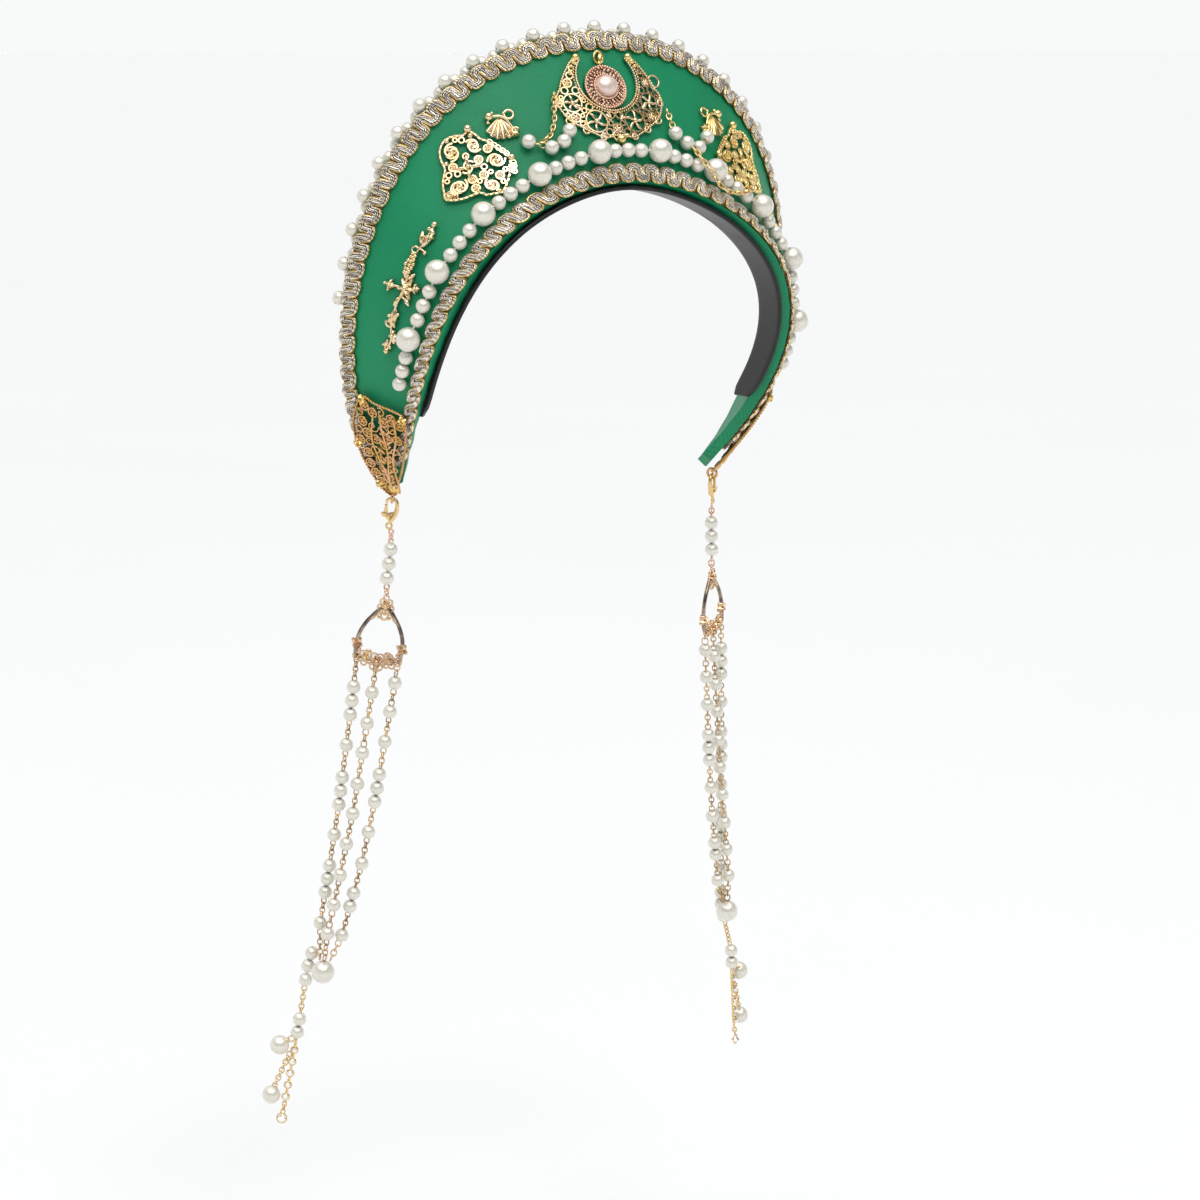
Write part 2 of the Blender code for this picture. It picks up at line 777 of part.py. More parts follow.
mirrored(spray, "flower_spray_left", GILT, 0.9, 0.3)

# End filigree: pierced triangle laid over the braids at the tip
END_OUTLINE = (
    # share of the face, share of its width
    (0.784, 0.74),
    (0.802, 0.58),
    (0.824, 0.34),
    (0.844, 0.16),
    (0.880, 0.08),
    (0.926, 0.07),
    (0.952, 0.18),
    (0.971, 0.30),
    (0.965, 0.64),
    (0.944, 0.80),
    (0.906, 0.88),
    (0.856, 0.91),
    (0.818, 0.88),
)
END_GAPS = (
    # share of the face, share of its width, radius, stretch, angle
    (0.806, 0.76, 1.2, 1.4, 80),
    (0.830, 0.50, 1.4, 1.3, 20),
    (0.846, 0.80, 1.4, 1.5, 30),
    (0.864, 0.32, 1.3, 1.5, 60),
    (0.874, 0.60, 1.4, 1.5, 120),
    (0.896, 0.80, 1.2, 1.4, 70),
    (0.908, 0.40, 1.3, 1.5, 40),
)
END_LIFT = SEAT_GAP + BRAID_THICK + 0.6
end_spot = FaceSpot(-0.87, 0.5 * face_width(0.87))


def end_drawing(share, part):
    off = face_flat(-share, part * face_width(share)) - end_spot.centre
    return off.dot(end_spot.side), off.dot(end_spot.up)


outline = [end_drawing(share, part) for share, part in END_OUTLINE]
gaps = []
for share, part, r, stretch, angle in END_GAPS:
    x, y = end_drawing(share, part)
    gaps.append(oval(x, y, r, stretch, angle))
end = plate(outline, gaps, PLATE_THICK, END_LIFT, relief=0.5)
end_spot.lay(end)
hang = drop_point(-0.5, -0.2)
along = (drop_point(1, 0) - drop_point(0, 0)).normalized()
out = (drop_point(0, 0, 1) - drop_point(0, 0)).normalized()
loop = ring(hang, 2.2, 0.6, 10, 1, (along, out))
end = fused([end, loop])
finish_object(end, "end_filigree_right", DEEP_GILT, 0.9, 0.3)
mirrored(end, "end_filigree_left", DEEP_GILT, 0.9, 0.3)

# Swags of pearls and fine chain beside the crescent, different on the two sides
RIGHT_SWAG = (
    # share of the face, distance from the inner edge, radius
    (-0.2335, 32.4, 0.5),
    (-0.2330, 28.7, 3.0),
    (-0.217, 24.6, 0.5),
    (-0.2010, 22.1, 3.0),
    (-0.1655, 22.6, 3.0),
    (-0.1375, 26.1, 3.0),
)
LEFT_SWAG = (
    (0.1235, 35.0, 0.5),
    (0.1370, 30.2, 0.5),
    (0.1503, 24.7, 3.0),
    (0.1870, 22.2, 3.0),
    (0.2235, 22.6, 3.0),
    (0.2375, 30.0, 3.0),
)
RIGHT_CHAIN = (
    # share of the face, distance from the inner edge, height off the satin
    (-0.1255, 42.4, 2.4),
    (-0.1385, 37.4, 2.4),
    (-0.1524, 32.6, 2.4),
    (-0.1743, 28.3, 2.4),
    (-0.1890, 26.8, 2.4),
    (-0.2075, 26.7, 2.4),
)
LEFT_CHAIN = (
    (0.1990, 19.3, 5.2),
    (0.2100, 16.2, 7.2),
    (0.2254, 13.6, 7.6),
    (0.2475, 9.8, 9.0),
    (0.2700, 6.6, 9.0),
    (0.2925, 3.8, 8.5),
    (0.3334, 2.6, 7.6),
    (0.3700, 6.6, 7.8),
    (0.3855, 13.4, 8.4),
    (0.3900, 21.2, 2.6),
)
for name, table in (("swag_pearls_right", RIGHT_SWAG), ("swag_pearls_left", LEFT_SWAG)):
    centres = [face_point(s, d, r + SEAT_GAP if r > 1 else 2.6) for s, d, r in table]
    points = bead_points(centres, [r for s, d, r in table], 0.5)
    finish_object(tube(points, 3), name, IVORY, 0.0, 0.2)
for name, table in (("swag_chain_right", RIGHT_CHAIN), ("swag_chain_left", LEFT_CHAIN)):
    points = [(face_point(s, d, lift), 0.6) for s, d, lift in table]
    finish_object(tube(points, 1), name, GILT, 0.9, 0.3)


def right_and_left(ob, name, color, metallic, roughness):
    finish_object(ob, name + "_right", color, metallic, roughness)
    mirrored(ob, name + "_left", color, metallic, roughness)


# Lobster clasp: hook and body, with a sprung lever turning on its pin
CLASP_X = -0.3
CLASP_Y = 5.45
HOOK_PATH = (
    # across, down from the clasp's centre, wire radius
    (-2.0, -2.9, 0.55),
    (-1.9, -4.3, 0.6),
    (-0.7, -5.3, 0.65),
    (0.9, -5.2, 0.7),
    (2.1, -4.1, 0.8),
    (2.6, -2.2, 0.9),
    (2.5, 0.0, 1.0),
    (1.8, 2.4, 1.05),
    (0.8, 4.2, 0.9),
    (0.5, 5.4, 0.6),
)
PIN = (-0.55, 2.35)
LEVER_OUTLINE = (
    # across, down from the clasp's centre
    (0.25, 1.9),
    (0.2, 2.8),
    (-0.5, 3.25),
    (-1.4, 3.1),
    (-2.4, 2.9),
    (-3.4, 2.2),
    (-3.6, 1.2),
    (-2.8, 0.9),
    (-2.6, -0.4),
    (-2.5, -2.5),
    (-1.5, -2.5),
    (-0.9, 0.4),
    (-0.1, 1.4),
)
points = [(Vector((x + CLASP_X, y + CLASP_Y, 0.0)), r) for x, y, r in HOOK_PATH]
body = [tube(points, 1)]
cheek = [(1.9, 0.6), (1.9, 3.6), (0.2, 4.3), (-1.4, 3.5), (-1.4, 1.6), (0.2, 0.8)]
cheek = plate([(x + CLASP_X, y + CLASP_Y) for x, y in cheek], [], 0.6, -1.35)
body.append(cheek)
pin_at = (PIN[0] + CLASP_X, PIN[1] + CLASP_Y)
pin = tube([(Vector((*pin_at, -1.2)), 0.4), (Vector((*pin_at, 0.95)), 0.4)], 1)
head = tube([(Vector((*pin_at, 0.85)), 0.75), (Vector((*pin_at, 1.2)), 0.75)], 1)
body += [pin, head]
body.append(ring((0.5 + CLASP_X, 6.4 + CLASP_Y, 0.0), 1.2, 0.45, 8, 0))
clasp = lay_on_drop(fused(body))
right_and_left(clasp, "clasp_body", GILT, 0.9, 0.3)
lever = plate(
    [(x + CLASP_X, y + CLASP_Y) for x, y in LEVER_OUTLINE],
    [oval(*pin_at, 0.55, steps=8)], 1.0, -0.45)
right_and_left(lay_on_drop(lever), "clasp_lever", GILT, 0.9, 0.3)

# Chain below the clasp, with three pearls
CHAIN_TABLE = (
    # down, across, radius
    (13.9, 1.6, 0.8),
    (18.0, 2.3, 0.8),
    (21.6, 2.5, 3.0),
    (27.8, 2.7, 3.0),
    (34.0, 2.9, 3.0),
    (38.6, 3.4, 0.5),
    (43.4, 4.2, 0.5),
)


def string_in_drop(table, thread=0.5, out=0.0, resolution=3):
    centres = [Vector((row[1], row[0], row[3] if len(row) > 3 else out)) for row in table]
    points = bead_points(centres, [row[2] for row in table], thread)
    return lay_on_drop(tube(points, resolution))


right_and_left(string_in_drop(CHAIN_TABLE), "drop_chain", IVORY, 0.0, 0.2)

# Hanger: wire arch between flowers, with a bar of blossoms across its foot
HANGER_MID = 4.4
ARCH = (
    # across from the middle, down, wire radius
    (0.0, 46.6, 0.7),
    (5.6, 51.8, 0.65),
    (9.0, 58.6, 0.65),
    (9.6, 65.2, 0.7),
    (7.6, 69.2, 0.6),
)
points = [(Vector((HANGER_MID - x, y, 0.0)), r) for x, y, r in ARCH]
points += [(Vector((HANGER_MID + x, y, 0.0)), r) for x, y, r in ARCH[:0:-1]]
hanger = [tube(points, 1, closed=True)]
hanger.append(boss(HANGER_MID, 46.0, 3.6, 5, 0.5, 2.0, -0.9, 10))
hanger.append(boss(HANGER_MID, 69.9, 3.6, 6, 0.4, 2.4, -1.0, 12))
for side in (-1, 1):
    hanger.append(boss(HANGER_MID + side * 6.4, 69.2, 2.5, 4, 0.5, 1.9, -0.9, 8))
    hanger.append(knob((HANGER_MID + side * 9.8, 63.9, 0.0), 1.8))
hanger = lay_on_drop(fused(hanger))
right_and_left(hanger, "drop_hanger", ROSE_GILT, 0.9, 0.3)

# Three strands of pearls on eyed wire, gathered at the foot
STRANDS = {
    # down, across, out, radius
    "outer": (
        (69.9, -4.3, 0.0, 0.6),
        (78.6, -4.2, 0.0, 0.6),
        (80.6, -3.6, 0.0, STRAND_RADIUS),
        (135.0, -1.7, -1.0, STRAND_RADIUS),
        (162.4, -1.5, -2.2, STRAND_RADIUS),
        (190.6, -1.5, -3.0, STRAND_RADIUS),
        (192.8, -1.0, -2.6, 0.6),
        (204.2, 1.0, -1.6, 0.6),
    ),
    "middle": (
        (72.5, 4.4, 0.0, 0.6),
        (79.6, 4.5, 0.0, 0.6),
        (81.6, 4.5, 0.0, STRAND_RADIUS),
        (137.1, 4.9, 1.2, STRAND_RADIUS),
        (164.8, 3.9, 2.2, STRAND_RADIUS),
        (192.6, 2.6, 2.7, STRAND_RADIUS),
        (194.6, 2.6, 2.4, 0.6),
        (203.2, 3.2, 1.9, 0.6),
    ),
    "inner": (
        (69.6, 13.1, 0.0, 0.6),
        (73.6, 13.3, 0.0, 0.6),
        (75.6, 13.4, 0.0, STRAND_RADIUS),
        (131.4, 13.2, 0.0, STRAND_RADIUS),
        (158.6, 12.1, 0.0, STRAND_RADIUS),
        (192.6, 8.6, 0.0, STRAND_RADIUS),
        (194.6, 8.0, 0.0, 0.6),
        (203.2, 5.6, 0.6, 0.6),
    ),
}
for name, table in STRANDS.items():
    points = [(Vector((x, y, z)), r) for y, x, z, r in table]
    right_and_left(lay_on_drop(tube(points, 1)), "drop_strand_" + name, IVORY, 0.0, 0.2)

# Gathering pearl, tail of small pearls and the pendants on its end
big = lay_on_drop(ball((3.4, 208.6, 1.6), PEARL_LARGE, 10, 7))
right_and_left(big, "gathering_pearl", IVORY, 0.0, 0.2)
TAIL = (
    # down, across, radius, out
    (200.2, -0.6, 0.6, -3.6),
    (202.8, -3.0, 2.4, -4.2),
    (208.8, -3.9, 2.4, -5.0),
    (217.6, -3.8, 2.4, -3.0),
    (221.4, -3.8, 1.0, -1.6),
    (227.6, -3.6, 1.0, -0.4),
    (229.8, -3.4, 2.4, 0.0),
    (241.0, -3.4, 2.4, 0.0),
)
points = [(Vector((x, y, z)), r) for y, x, r, z in TAIL]
right_and_left(lay_on_drop(tube(points, 1)), "drop_tail", IVORY, 0.0, 0.2)
SHORT_PENDANT = (
    (240.4, -5.6, 0.5, 2.3),
    (244.8, -10.0, 4.2, 0.4),
)
LONG_PENDANT = (
    (247.6, -5.2, 0.5, 0.0),
    (253.0, -6.9, 0.5, 0.0),
    (260.0, -9.0, 0.5, 0.0),
    (267.9, -10.2, 4.0, 0.0),
)
right_and_left(string_in_drop(SHORT_PENDANT), "pendant_short", IVORY, 0.0, 0.2)
right_and_left(string_in_drop(LONG_PENDANT), "pendant_long", IVORY, 0.0, 0.2)
bar = [(Vector((-3.4, 241.4, 0.0)), 0.7)]
for k in range(5):
    y = 246.0 + 5.4 * k
    bar.append((Vector((-3.4 - 0.12 * k, y, 0.0)), 1.3))
    bar.append((Vector((-3.4 - 0.12 * k, y + 2.7, 0.0)), 0.95))
right_and_left(lay_on_drop(tube(bar, 1)), "crystal_bar", CRYSTAL, 0.3, 0.2)
end_drop = [
    (Vector((-3.9, 270.8, 0.0)), 0.5),
    (Vector((-4.0, 274.8, 0.0)), 1.9),
    (Vector((-4.1, 277.6, 0.0)), 2.2),
    (Vector((-4.2, 280.6, 0.0)), 0.6),
]
right_and_left(lay_on_drop(tube(end_drop, 1)), "crystal_end", CRYSTAL, 0.3, 0.2)

total = 0
for ob in hood.objects:
    bm = bmesh.new()
    bm.from_mesh(ob.data)
    bad = sum(1 for e in bm.edges if not e.is_manifold)
    tris = sum(len(f.verts) - 2 for f in bm.faces)
    total += tris
    print(ob.name, "tris", tris, "open edges", bad)
    bm.free()
print("nodes", len(hood.objects), "triangles", total)
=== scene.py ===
import math

import bmesh
import bpy
import numpy as np
from mathutils import Matrix, Vector
from mathutils.kdtree import KDTree


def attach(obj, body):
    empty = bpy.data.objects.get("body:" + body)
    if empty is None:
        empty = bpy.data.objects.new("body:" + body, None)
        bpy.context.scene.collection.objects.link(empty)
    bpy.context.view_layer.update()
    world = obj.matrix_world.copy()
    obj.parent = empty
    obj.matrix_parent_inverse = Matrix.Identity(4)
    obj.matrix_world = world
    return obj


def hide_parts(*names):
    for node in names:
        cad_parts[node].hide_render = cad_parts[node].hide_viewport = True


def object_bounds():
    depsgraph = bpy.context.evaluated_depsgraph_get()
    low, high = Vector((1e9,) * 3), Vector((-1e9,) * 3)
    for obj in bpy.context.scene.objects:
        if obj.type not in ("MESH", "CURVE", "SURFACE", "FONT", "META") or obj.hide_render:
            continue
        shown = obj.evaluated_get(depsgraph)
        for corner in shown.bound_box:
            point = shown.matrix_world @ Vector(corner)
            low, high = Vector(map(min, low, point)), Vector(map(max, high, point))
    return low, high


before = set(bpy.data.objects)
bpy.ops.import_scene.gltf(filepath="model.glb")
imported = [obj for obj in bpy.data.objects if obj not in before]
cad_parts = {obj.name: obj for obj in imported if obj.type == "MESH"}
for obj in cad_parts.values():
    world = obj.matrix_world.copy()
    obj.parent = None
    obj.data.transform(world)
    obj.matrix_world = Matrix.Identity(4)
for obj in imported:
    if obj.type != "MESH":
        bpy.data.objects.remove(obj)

bl_info = {
    "name": "French Hood",
    "version": (1, 0, 0),
    "blender": (4, 5, 0),
    "location": "3D View > Sidebar > Hood",
    "description": "Satin, gimp braid, pearls, filigree and drops of a french hood",
    "category": "Object",
}

MM = 0.001
CAD_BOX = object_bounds()

# Face of the halo: angles swept from the top, and lengths in millimetres
FACE_Y = -8.5
FACE_Z = 2.55
INNER_SWEEP = math.radians(114.9)
OUTER_SWEEP = math.radians(139.6)
HALO_THICK = 5.0
HALO_END = 0.966
HALO_INNER_MARGIN = 1.0
HALO_OUTER_MARGIN = 2.0
HALO_BEVEL = 1.6
BAND_WIDTH = 16.0
BAND_THICK = 1.8
BAND_END = 0.86
SEAT_GAP = 0.3
BRAID_SEAT = 0.42
BRAID_THICK = 1.9
BRAID_END = 0.966 * 48 / 50
STRING_LINE = 13.4
STRING_PEARL_GAP = 0.04
EDGING_END = 0.625
BRAID_LINE = 4.5
# Half width of the dark strip of painted shade under each braid
BRAID_SHADE_BACKING_HALF = 3.2
CLOTH_SWEEP = math.radians(115)
CLOTH_RADIUS = 85.0
PLATE_LIFT = 0.8
CRESCENT_LINE = 42.0

# Camera: direction from the hood, distance and focal length in pixels of the frame
FRAME_PIXELS = 1200
CAMERA_AZIMUTH = -30.836
CAMERA_ELEVATION = 9.158
CAMERA_DISTANCE = 1400.0
CAMERA_FOCAL = 3430.0
CAMERA_CENTRE = (631.443, 183.769)


def length(name, text, default):
    """Property for a length in metres."""
    return bpy.props.FloatProperty(
        name=name, description=text, default=default, unit="LENGTH", precision=5)


def tint(name, text, default):
    """Property for a colour."""
    return bpy.props.FloatVectorProperty(
        name=name, description=text, default=default, subtype="COLOR", size=3)


# Sizes and colours that a user would change
class HoodSizes(bpy.types.PropertyGroup):
    small_pearl: length("Small pearl", "Radius of the small pearls", 0.003)
    large_pearl: length("Large pearl", "Radius of the large pearls", 0.005)
    gimp_pitch: length("Gimp pitch", "Length of one full wave of the braid", 0.0078)
    gimp_thread: length("Gimp thread", "Radius of one thread of the braid", 0.00034)
    edging_pitch: length("Edging pitch", "Length from one outer edging pearl to the next", 0.0145)
    grain: length("Grain", "Radius of the grains along the filigree", 0.0005)
    wire: length("Filigree wire", "Radius of the wire that the filigree is made of", 0.00052)
    twill: length("Twill", "Width of one diagonal rib of the satin", 0.00105)


class HoodColours(bpy.types.PropertyGroup):
    satin: tint("Satin", "Colour of the satin", (0.006, 0.275, 0.115))
    thread: tint("Thread", "Colour of the braid's threads", (0.60, 0.48, 0.33))
    gilt: tint("Gilt", "Colour of the pale gilt", (0.84, 0.63, 0.33))
    deep_gilt: tint("Deep gilt", "Colour of the end pieces' gilt", (0.60, 0.35, 0.09))
    rose_gilt: tint("Rose gilt", "Colour of the rose gilt", (0.84, 0.52, 0.36))
    ivory: tint("Ivory", "Colour of the pearls", (0.76, 0.73, 0.64))
    pink: tint("Pink", "Colour of the medallion's pearl", (0.80, 0.62, 0.56))


# Materials
class Number:
    """A value in a material: arithmetic on it adds Math nodes."""

    def __init__(self, finish, socket):
        self.finish = finish
        self.socket = socket

    def __add__(self, other):
        return self.finish.maths("ADD", self, other)

    __radd__ = __add__

    def __rsub__(self, other):
        return self.finish.maths("SUBTRACT", other, self)

    def __mul__(self, other):
        return self.finish.maths("MULTIPLY", self, other)

    __rmul__ = __mul__


class Finish:
    """Node tree of one material, with a Principled shader."""

    def __init__(self, name, fixed):
        self.material = bpy.data.materials.new(name)
        self.material.use_nodes = True
        self.tree = self.material.node_tree
        self.shader = self.tree.nodes["Principled BSDF"]
        for socket, value in fixed.items():
            self.shader.inputs[socket].default_value = value

    def node(self, kind, settings, inputs, out=0):
        made = self.tree.nodes.new(kind)
        for key, value in settings.items():
            if key == "stops":
                ramp = made.color_ramp.elements
                while len(ramp) < len(value):
                    ramp.new(0.5)
                for stop, (place, colour) in zip(ramp, value):
                    stop.position = place
                    stop.color = colour
            else:
                setattr(made, key, value)
        for key, value in inputs.items():
            self.feed(made.inputs[key], value)
        return Number(self, made.outputs[out])

    def feed(self, socket, value):
        if isinstance(value, Number):
            self.tree.links.new(value.socket, socket)
        else:
            socket.default_value = value

    def maths(self, operation, a, b=0.0):
        return self.node("ShaderNodeMath", {"operation": operation}, {0: a, 1: b})

    def mix(self, share, a, b):
        colours = [c if isinstance(c, Number) else (*c, 1.0) for c in (a, b)]
        settings = {"data_type": "RGBA"}
        return self.node("ShaderNodeMix", settings, {0: share, 6: colours[0], 7: colours[1]}, 2)

    def place(self):
        return self.node("ShaderNodeTexCoord", {}, {}, "Object")

    def noise(self, scale, detail=2.0, rough=0.5):
        inputs = {"Vector": self.place(), "Scale": scale, "Detail": detail, "Roughness": rough}
        return self.node("ShaderNodeTexNoise", {}, inputs)

    def stretch(self, value, low, high):
        inputs = {0: value, 1: low, 2: high, 3: 0.0, 4: 1.0}
        return self.node("ShaderNodeMapRange", {"clamp": True}, inputs)

    def wave(self, direction, pitch, where=None):
        """From 0 to 1 and back over each pitch along a direction, in the units of the place."""
        inputs = {0: where or self.place(), 1: direction}
        along = self.node("ShaderNodeVectorMath", {"operation": "DOT_PRODUCT"}, inputs, "Value")
        return self.maths("SINE", along * (math.tau / pitch)) * 0.5 + 0.5

    def bump(self, height, depth, strength=1.0):
        inputs = {"Strength": strength, "Distance": depth, "Height": height}
        return self.node("ShaderNodeBump", {}, inputs, "Normal")

    def height(self):
        """How far a point of a laid drawing stands off the satin, in millimetres."""
        return self.node("ShaderNodeAttribute", {"attribute_name": "height"}, {}, "Fac")

    def dress(self, **sockets):
        for key, value in sockets.items():
            self.feed(self.shader.inputs[key.replace("_", " ")], value)
        return self.material


def tone(colour, by):
    return tuple(min(1.0, c * by) for c in colour)


def satin_finish(colours, sizes):
    """Satin weave whose ribs run at 45 degrees to the flattened crescent."""
    fixed = {"Sheen Weight": 0.04, "Sheen Roughness": 0.35, "Sheen Tint": (0.5, 1.0, 0.75, 1.0),
             "Specular IOR Level": 0.3}
    f = Finish("satin", fixed)
    cloth = f.node("ShaderNodeUVMap", {"uv_map": "cloth"}, {})
    pitch = sizes.twill / MM
    ribs = f.wave((0.707, 0.707, 0.0), pitch, cloth)
    cross = f.wave((0.707, -0.707, 0.0), 0.62 * pitch, cloth)
    slub = f.noise(1100.0, 3.0, 0.6)
    cloud = f.stretch(f.noise(22.0, 2.0), 0.3, 0.7)
    deep = f.mix(cloud, tone(colours.satin, 0.66), tone(colours.satin, 0.78))
    bright = f.mix(cloud, tone(colours.satin, 1.0), tone(colours.satin, 1.16))
    base = f.mix(ribs * (0.45 + 0.25 * cross) + slub * 0.32, deep, bright)
    weave = ribs * 0.6 + cross * 0.25 + slub * 0.35
    rough = 0.38 + slub * 0.16 + cloud * 0.05
    return f.dress(Base_Color=base, Roughness=rough, Normal=f.bump(weave, 0.00007, 0.5))


def thread_finish(name, dark, pale, pitch, metallic=0.8):
    """Twisted metallic thread: painted glints (pale) and painted shade (dark) along its turns, in the
    base colour.
    """
    f = Finish(name, {"Sheen Weight": 0.05})
    twist = f.wave((0.7, 0.35, 0.62), pitch)
    grain = f.noise(1300.0, 2.0, 0.6)
    # painted glints and painted shade: the twist and the grain set where the base colour is pale or dark
    share = f.stretch(twist * 0.45 + grain, 0.42, 0.92)
    return f.dress(
        Base_Color=f.mix(share, dark, pale), Metallic=metallic * (0.8 + 0.2 * grain),
        Roughness=0.2 + grain * 0.2, Normal=f.bump(twist * 0.6 + grain, 0.00014, 0.8))


def pearl_finish(name, colour, blush):
    fixed = {"Coat IOR": 1.6, "Coat Roughness": 0.04, "Specular IOR Level": 0.6}
    f = Finish(name, fixed)
    cloud = f.stretch(f.noise(160.0, 2.0), 0.35, 0.65)
    skin = f.noise(2600.0, 3.0, 0.6)
    return f.dress(
        Base_Color=f.mix(cloud, colour, blush), Roughness=0.22 + skin * 0.12,
        Metallic=0.22 + cloud * 0.08, Coat_Weight=0.85 + skin * 0.15, Normal=f.bump(skin, 0.00001, 0.3))


def gilt_finish(name, colour, blush, recess):
    """Cast and plated metal: bright on what stands out, dull in the recesses and darkened there by
    painted shade.
    """
    f = Finish(name, {"Coat Roughness": 0.1})
    patch = f.stretch(f.noise(150.0, 3.0, 0.6), 0.38, 0.66)
    grain = f.noise(2200.0, 3.0, 0.6)
    out_of_painted_shade = f.stretch(f.height(), recess[0], recess[1])
    plated = f.mix(patch * 0.8, colour, blush)
    # painted shade: a copy of the colour darkened to 0.26 on the low points, by how high each point
    # stands
    base = f.mix(out_of_painted_shade, tone(colour, 0.26), plated)
    return f.dress(
        Base_Color=base, Metallic=0.97 - grain * 0.06, Roughness=0.34 - out_of_painted_shade * 0.2 + grain * 0.12,
        Coat_Weight=0.1 + patch * 0.2, Normal=f.bump(grain, 0.00004, 0.5))


def wire_finish(name, colour, blush):
    f = Finish(name, {})
    patch = f.stretch(f.noise(180.0, 2.0), 0.4, 0.62)
    grain = f.noise(3000.0, 2.0, 0.6)
    return f.dress(
        Base_Color=f.mix(patch, colour, blush), Metallic=0.95 - grain * 0.05,
        Roughness=0.17 + grain * 0.16, Normal=f.bump(grain, 0.00003, 0.4))


def band_finish():
    f = Finish("headband_black", {"Coat Roughness": 0.2, "Specular IOR Level": 0.3})
    fine = f.noise(2400.0, 4.0, 0.7)
    wear = f.stretch(f.noise(70.0, 4.0, 0.6), 0.55, 0.72)
    base = f.mix(wear, (0.008, 0.008, 0.009), (0.03, 0.029, 0.028))
    return f.dress(
        Base_Color=base, Roughness=0.34 + fine * 0.1 + wear * 0.1,
        Coat_Weight=0.15 - wear * 0.1, Normal=f.bump(fine, 0.00002, 0.4))


def crystal_finish():
    fixed = {"Coat Roughness": 0.02, "Coat IOR": 1.7, "Specular IOR Level": 0.9}
    f = Finish("crystal_stone", fixed)
    fire = f.stretch(f.noise(900.0, 1.0), 0.35, 0.65)
    base = f.mix(fire, (0.80, 0.80, 0.84), (0.97, 0.93, 0.88))
    return f.dress(
        Base_Color=base, Metallic=0.55 + fire * 0.3, Roughness=0.04 + fire * 0.06,
        Coat_Weight=1.0 - fire * 0.2)


def stage_finish():
    f = Finish("pale_floor", {"Specular IOR Level": 0.2})
    cloud = f.noise(1.5, 2.0)
    base = f.mix(cloud, (0.86, 0.865, 0.865), (0.88, 0.88, 0.875))
    return f.dress(Base_Color=base, Roughness=0.75 + cloud * 0.1)


made_finishes = {}


def finish_named(name):
    """Each material is made once, on its first use."""
    if name in made_finishes:
        return made_finishes[name]
    colours, sizes = bpy.context.scene.hood_colours, bpy.context.scene.hood_sizes
    # The thread colour darkened to 0.42 is the painted shade between the braid's painted glints
    thread, yellow = tone(colours.thread, 0.42), (0.95, 0.78, 0.42)
    tip, tip_blush = (0.80, 0.52, 0.14), (0.92, 0.70, 0.34)
    bloom, bloom_blush = (0.66, 0.42, 0.28), (0.86, 0.66, 0.36)
    makers = {
        "satin": (satin_finish, colours, sizes),
        # dark and pale ends of the painted shade and painted glints, pitch of the twist, metallic
        "thread": (thread_finish, "gimp_thread", thread, (1.0, 0.94, 0.84), 0.0011),
        "gold_cord": (thread_finish, "gold_cord", (0.34, 0.20, 0.05), (1.0, 0.74, 0.30), 0.0011, 0.95),
        # Dark strip under the braid, in two dark browns: painted shade between its threads
        "ground": (thread_finish, "gimp_ground", (0.05, 0.03, 0.015), (0.22, 0.15, 0.08), 0.0009, 0.4),
        # colour, blush
        "ivory": (pearl_finish, "ivory_pearl_skin", colours.ivory, tone(colours.ivory, 1.06)),
        "pink": (pearl_finish, "pink_pearl_skin", colours.pink, tone(colours.pink, 1.07)),
        # colour, blush, heights in mm between which the metal turns from dull and darkened by painted
        # shade to bright
        "gilt": (gilt_finish, "pale_gilt", colours.gilt, (0.93, 0.78, 0.60), (0.9, 1.75)),
        "deep_gilt": (gilt_finish, "deep_gilt", colours.deep_gilt, (0.76, 0.46, 0.26), (2.9, 3.9)),
        "rose_gilt": (gilt_finish, "rose_gilt", colours.rose_gilt, (0.93, 0.72, 0.56), (1.7, 2.3)),
        "yellow_gilt": (gilt_finish, "yellow_gilt", (0.90, 0.66, 0.24), yellow, (0.9, 1.7)),
        "yellow_tip": (gilt_finish, "yellow_tip_gilt", tip, tip_blush, (2.8, 3.6)),
        "rose_bloom": (gilt_finish, "rose_bloom_gilt", bloom, bloom_blush, (-0.9, 0.9)),
        # colour, blush
        "wire": (wire_finish, "gilt_wire", (0.80, 0.57, 0.24), (0.88, 0.66, 0.36)),
        "rose_wire": (wire_finish, "rose_gilt_wire", (0.76, 0.46, 0.30), (0.90, 0.64, 0.50)),
        "brown_wire": (wire_finish, "brown_gilt_wire", (0.46, 0.31, 0.15), (0.80, 0.58, 0.32)),
        "grey_wire": (wire_finish, "aged_wire", (0.15, 0.12, 0.10), (0.46, 0.36, 0.26)),
        "band": (band_finish,),
        "crystal": (crystal_finish,),
        "stage": (stage_finish,),
    }
    maker, *given = makers[name]
    made_finishes[name] = maker(*given)
    return made_finishes[name]


# Shape of the face: share runs from -1 at the wearer's right tip to 1 at the left
SHARE_STEP = 0.002


def unit(v):
    """Directions with a length of one."""
    return v / np.linalg.norm(v, axis=-1)[..., None]


def turned(x, y, angle):
    """Point of a drawing turned about its origin by an angle in radians."""
    c, s = math.cos(angle), math.sin(angle)
    return x * c - y * s, x * s + y * c


def inner_edge(share):
    t = np.asarray(share, float) * INNER_SWEEP
    z = -118.0 * (1 - np.cos(t)) + 21.0 * (1 - np.cos(2 * t))
    x = 77.4 * np.sin(t) - 8.46 * np.sin(3 * t)
    return np.stack([x, 0.155 * z + 0.00495 * z * z + FACE_Y, z + FACE_Z], axis=-1)


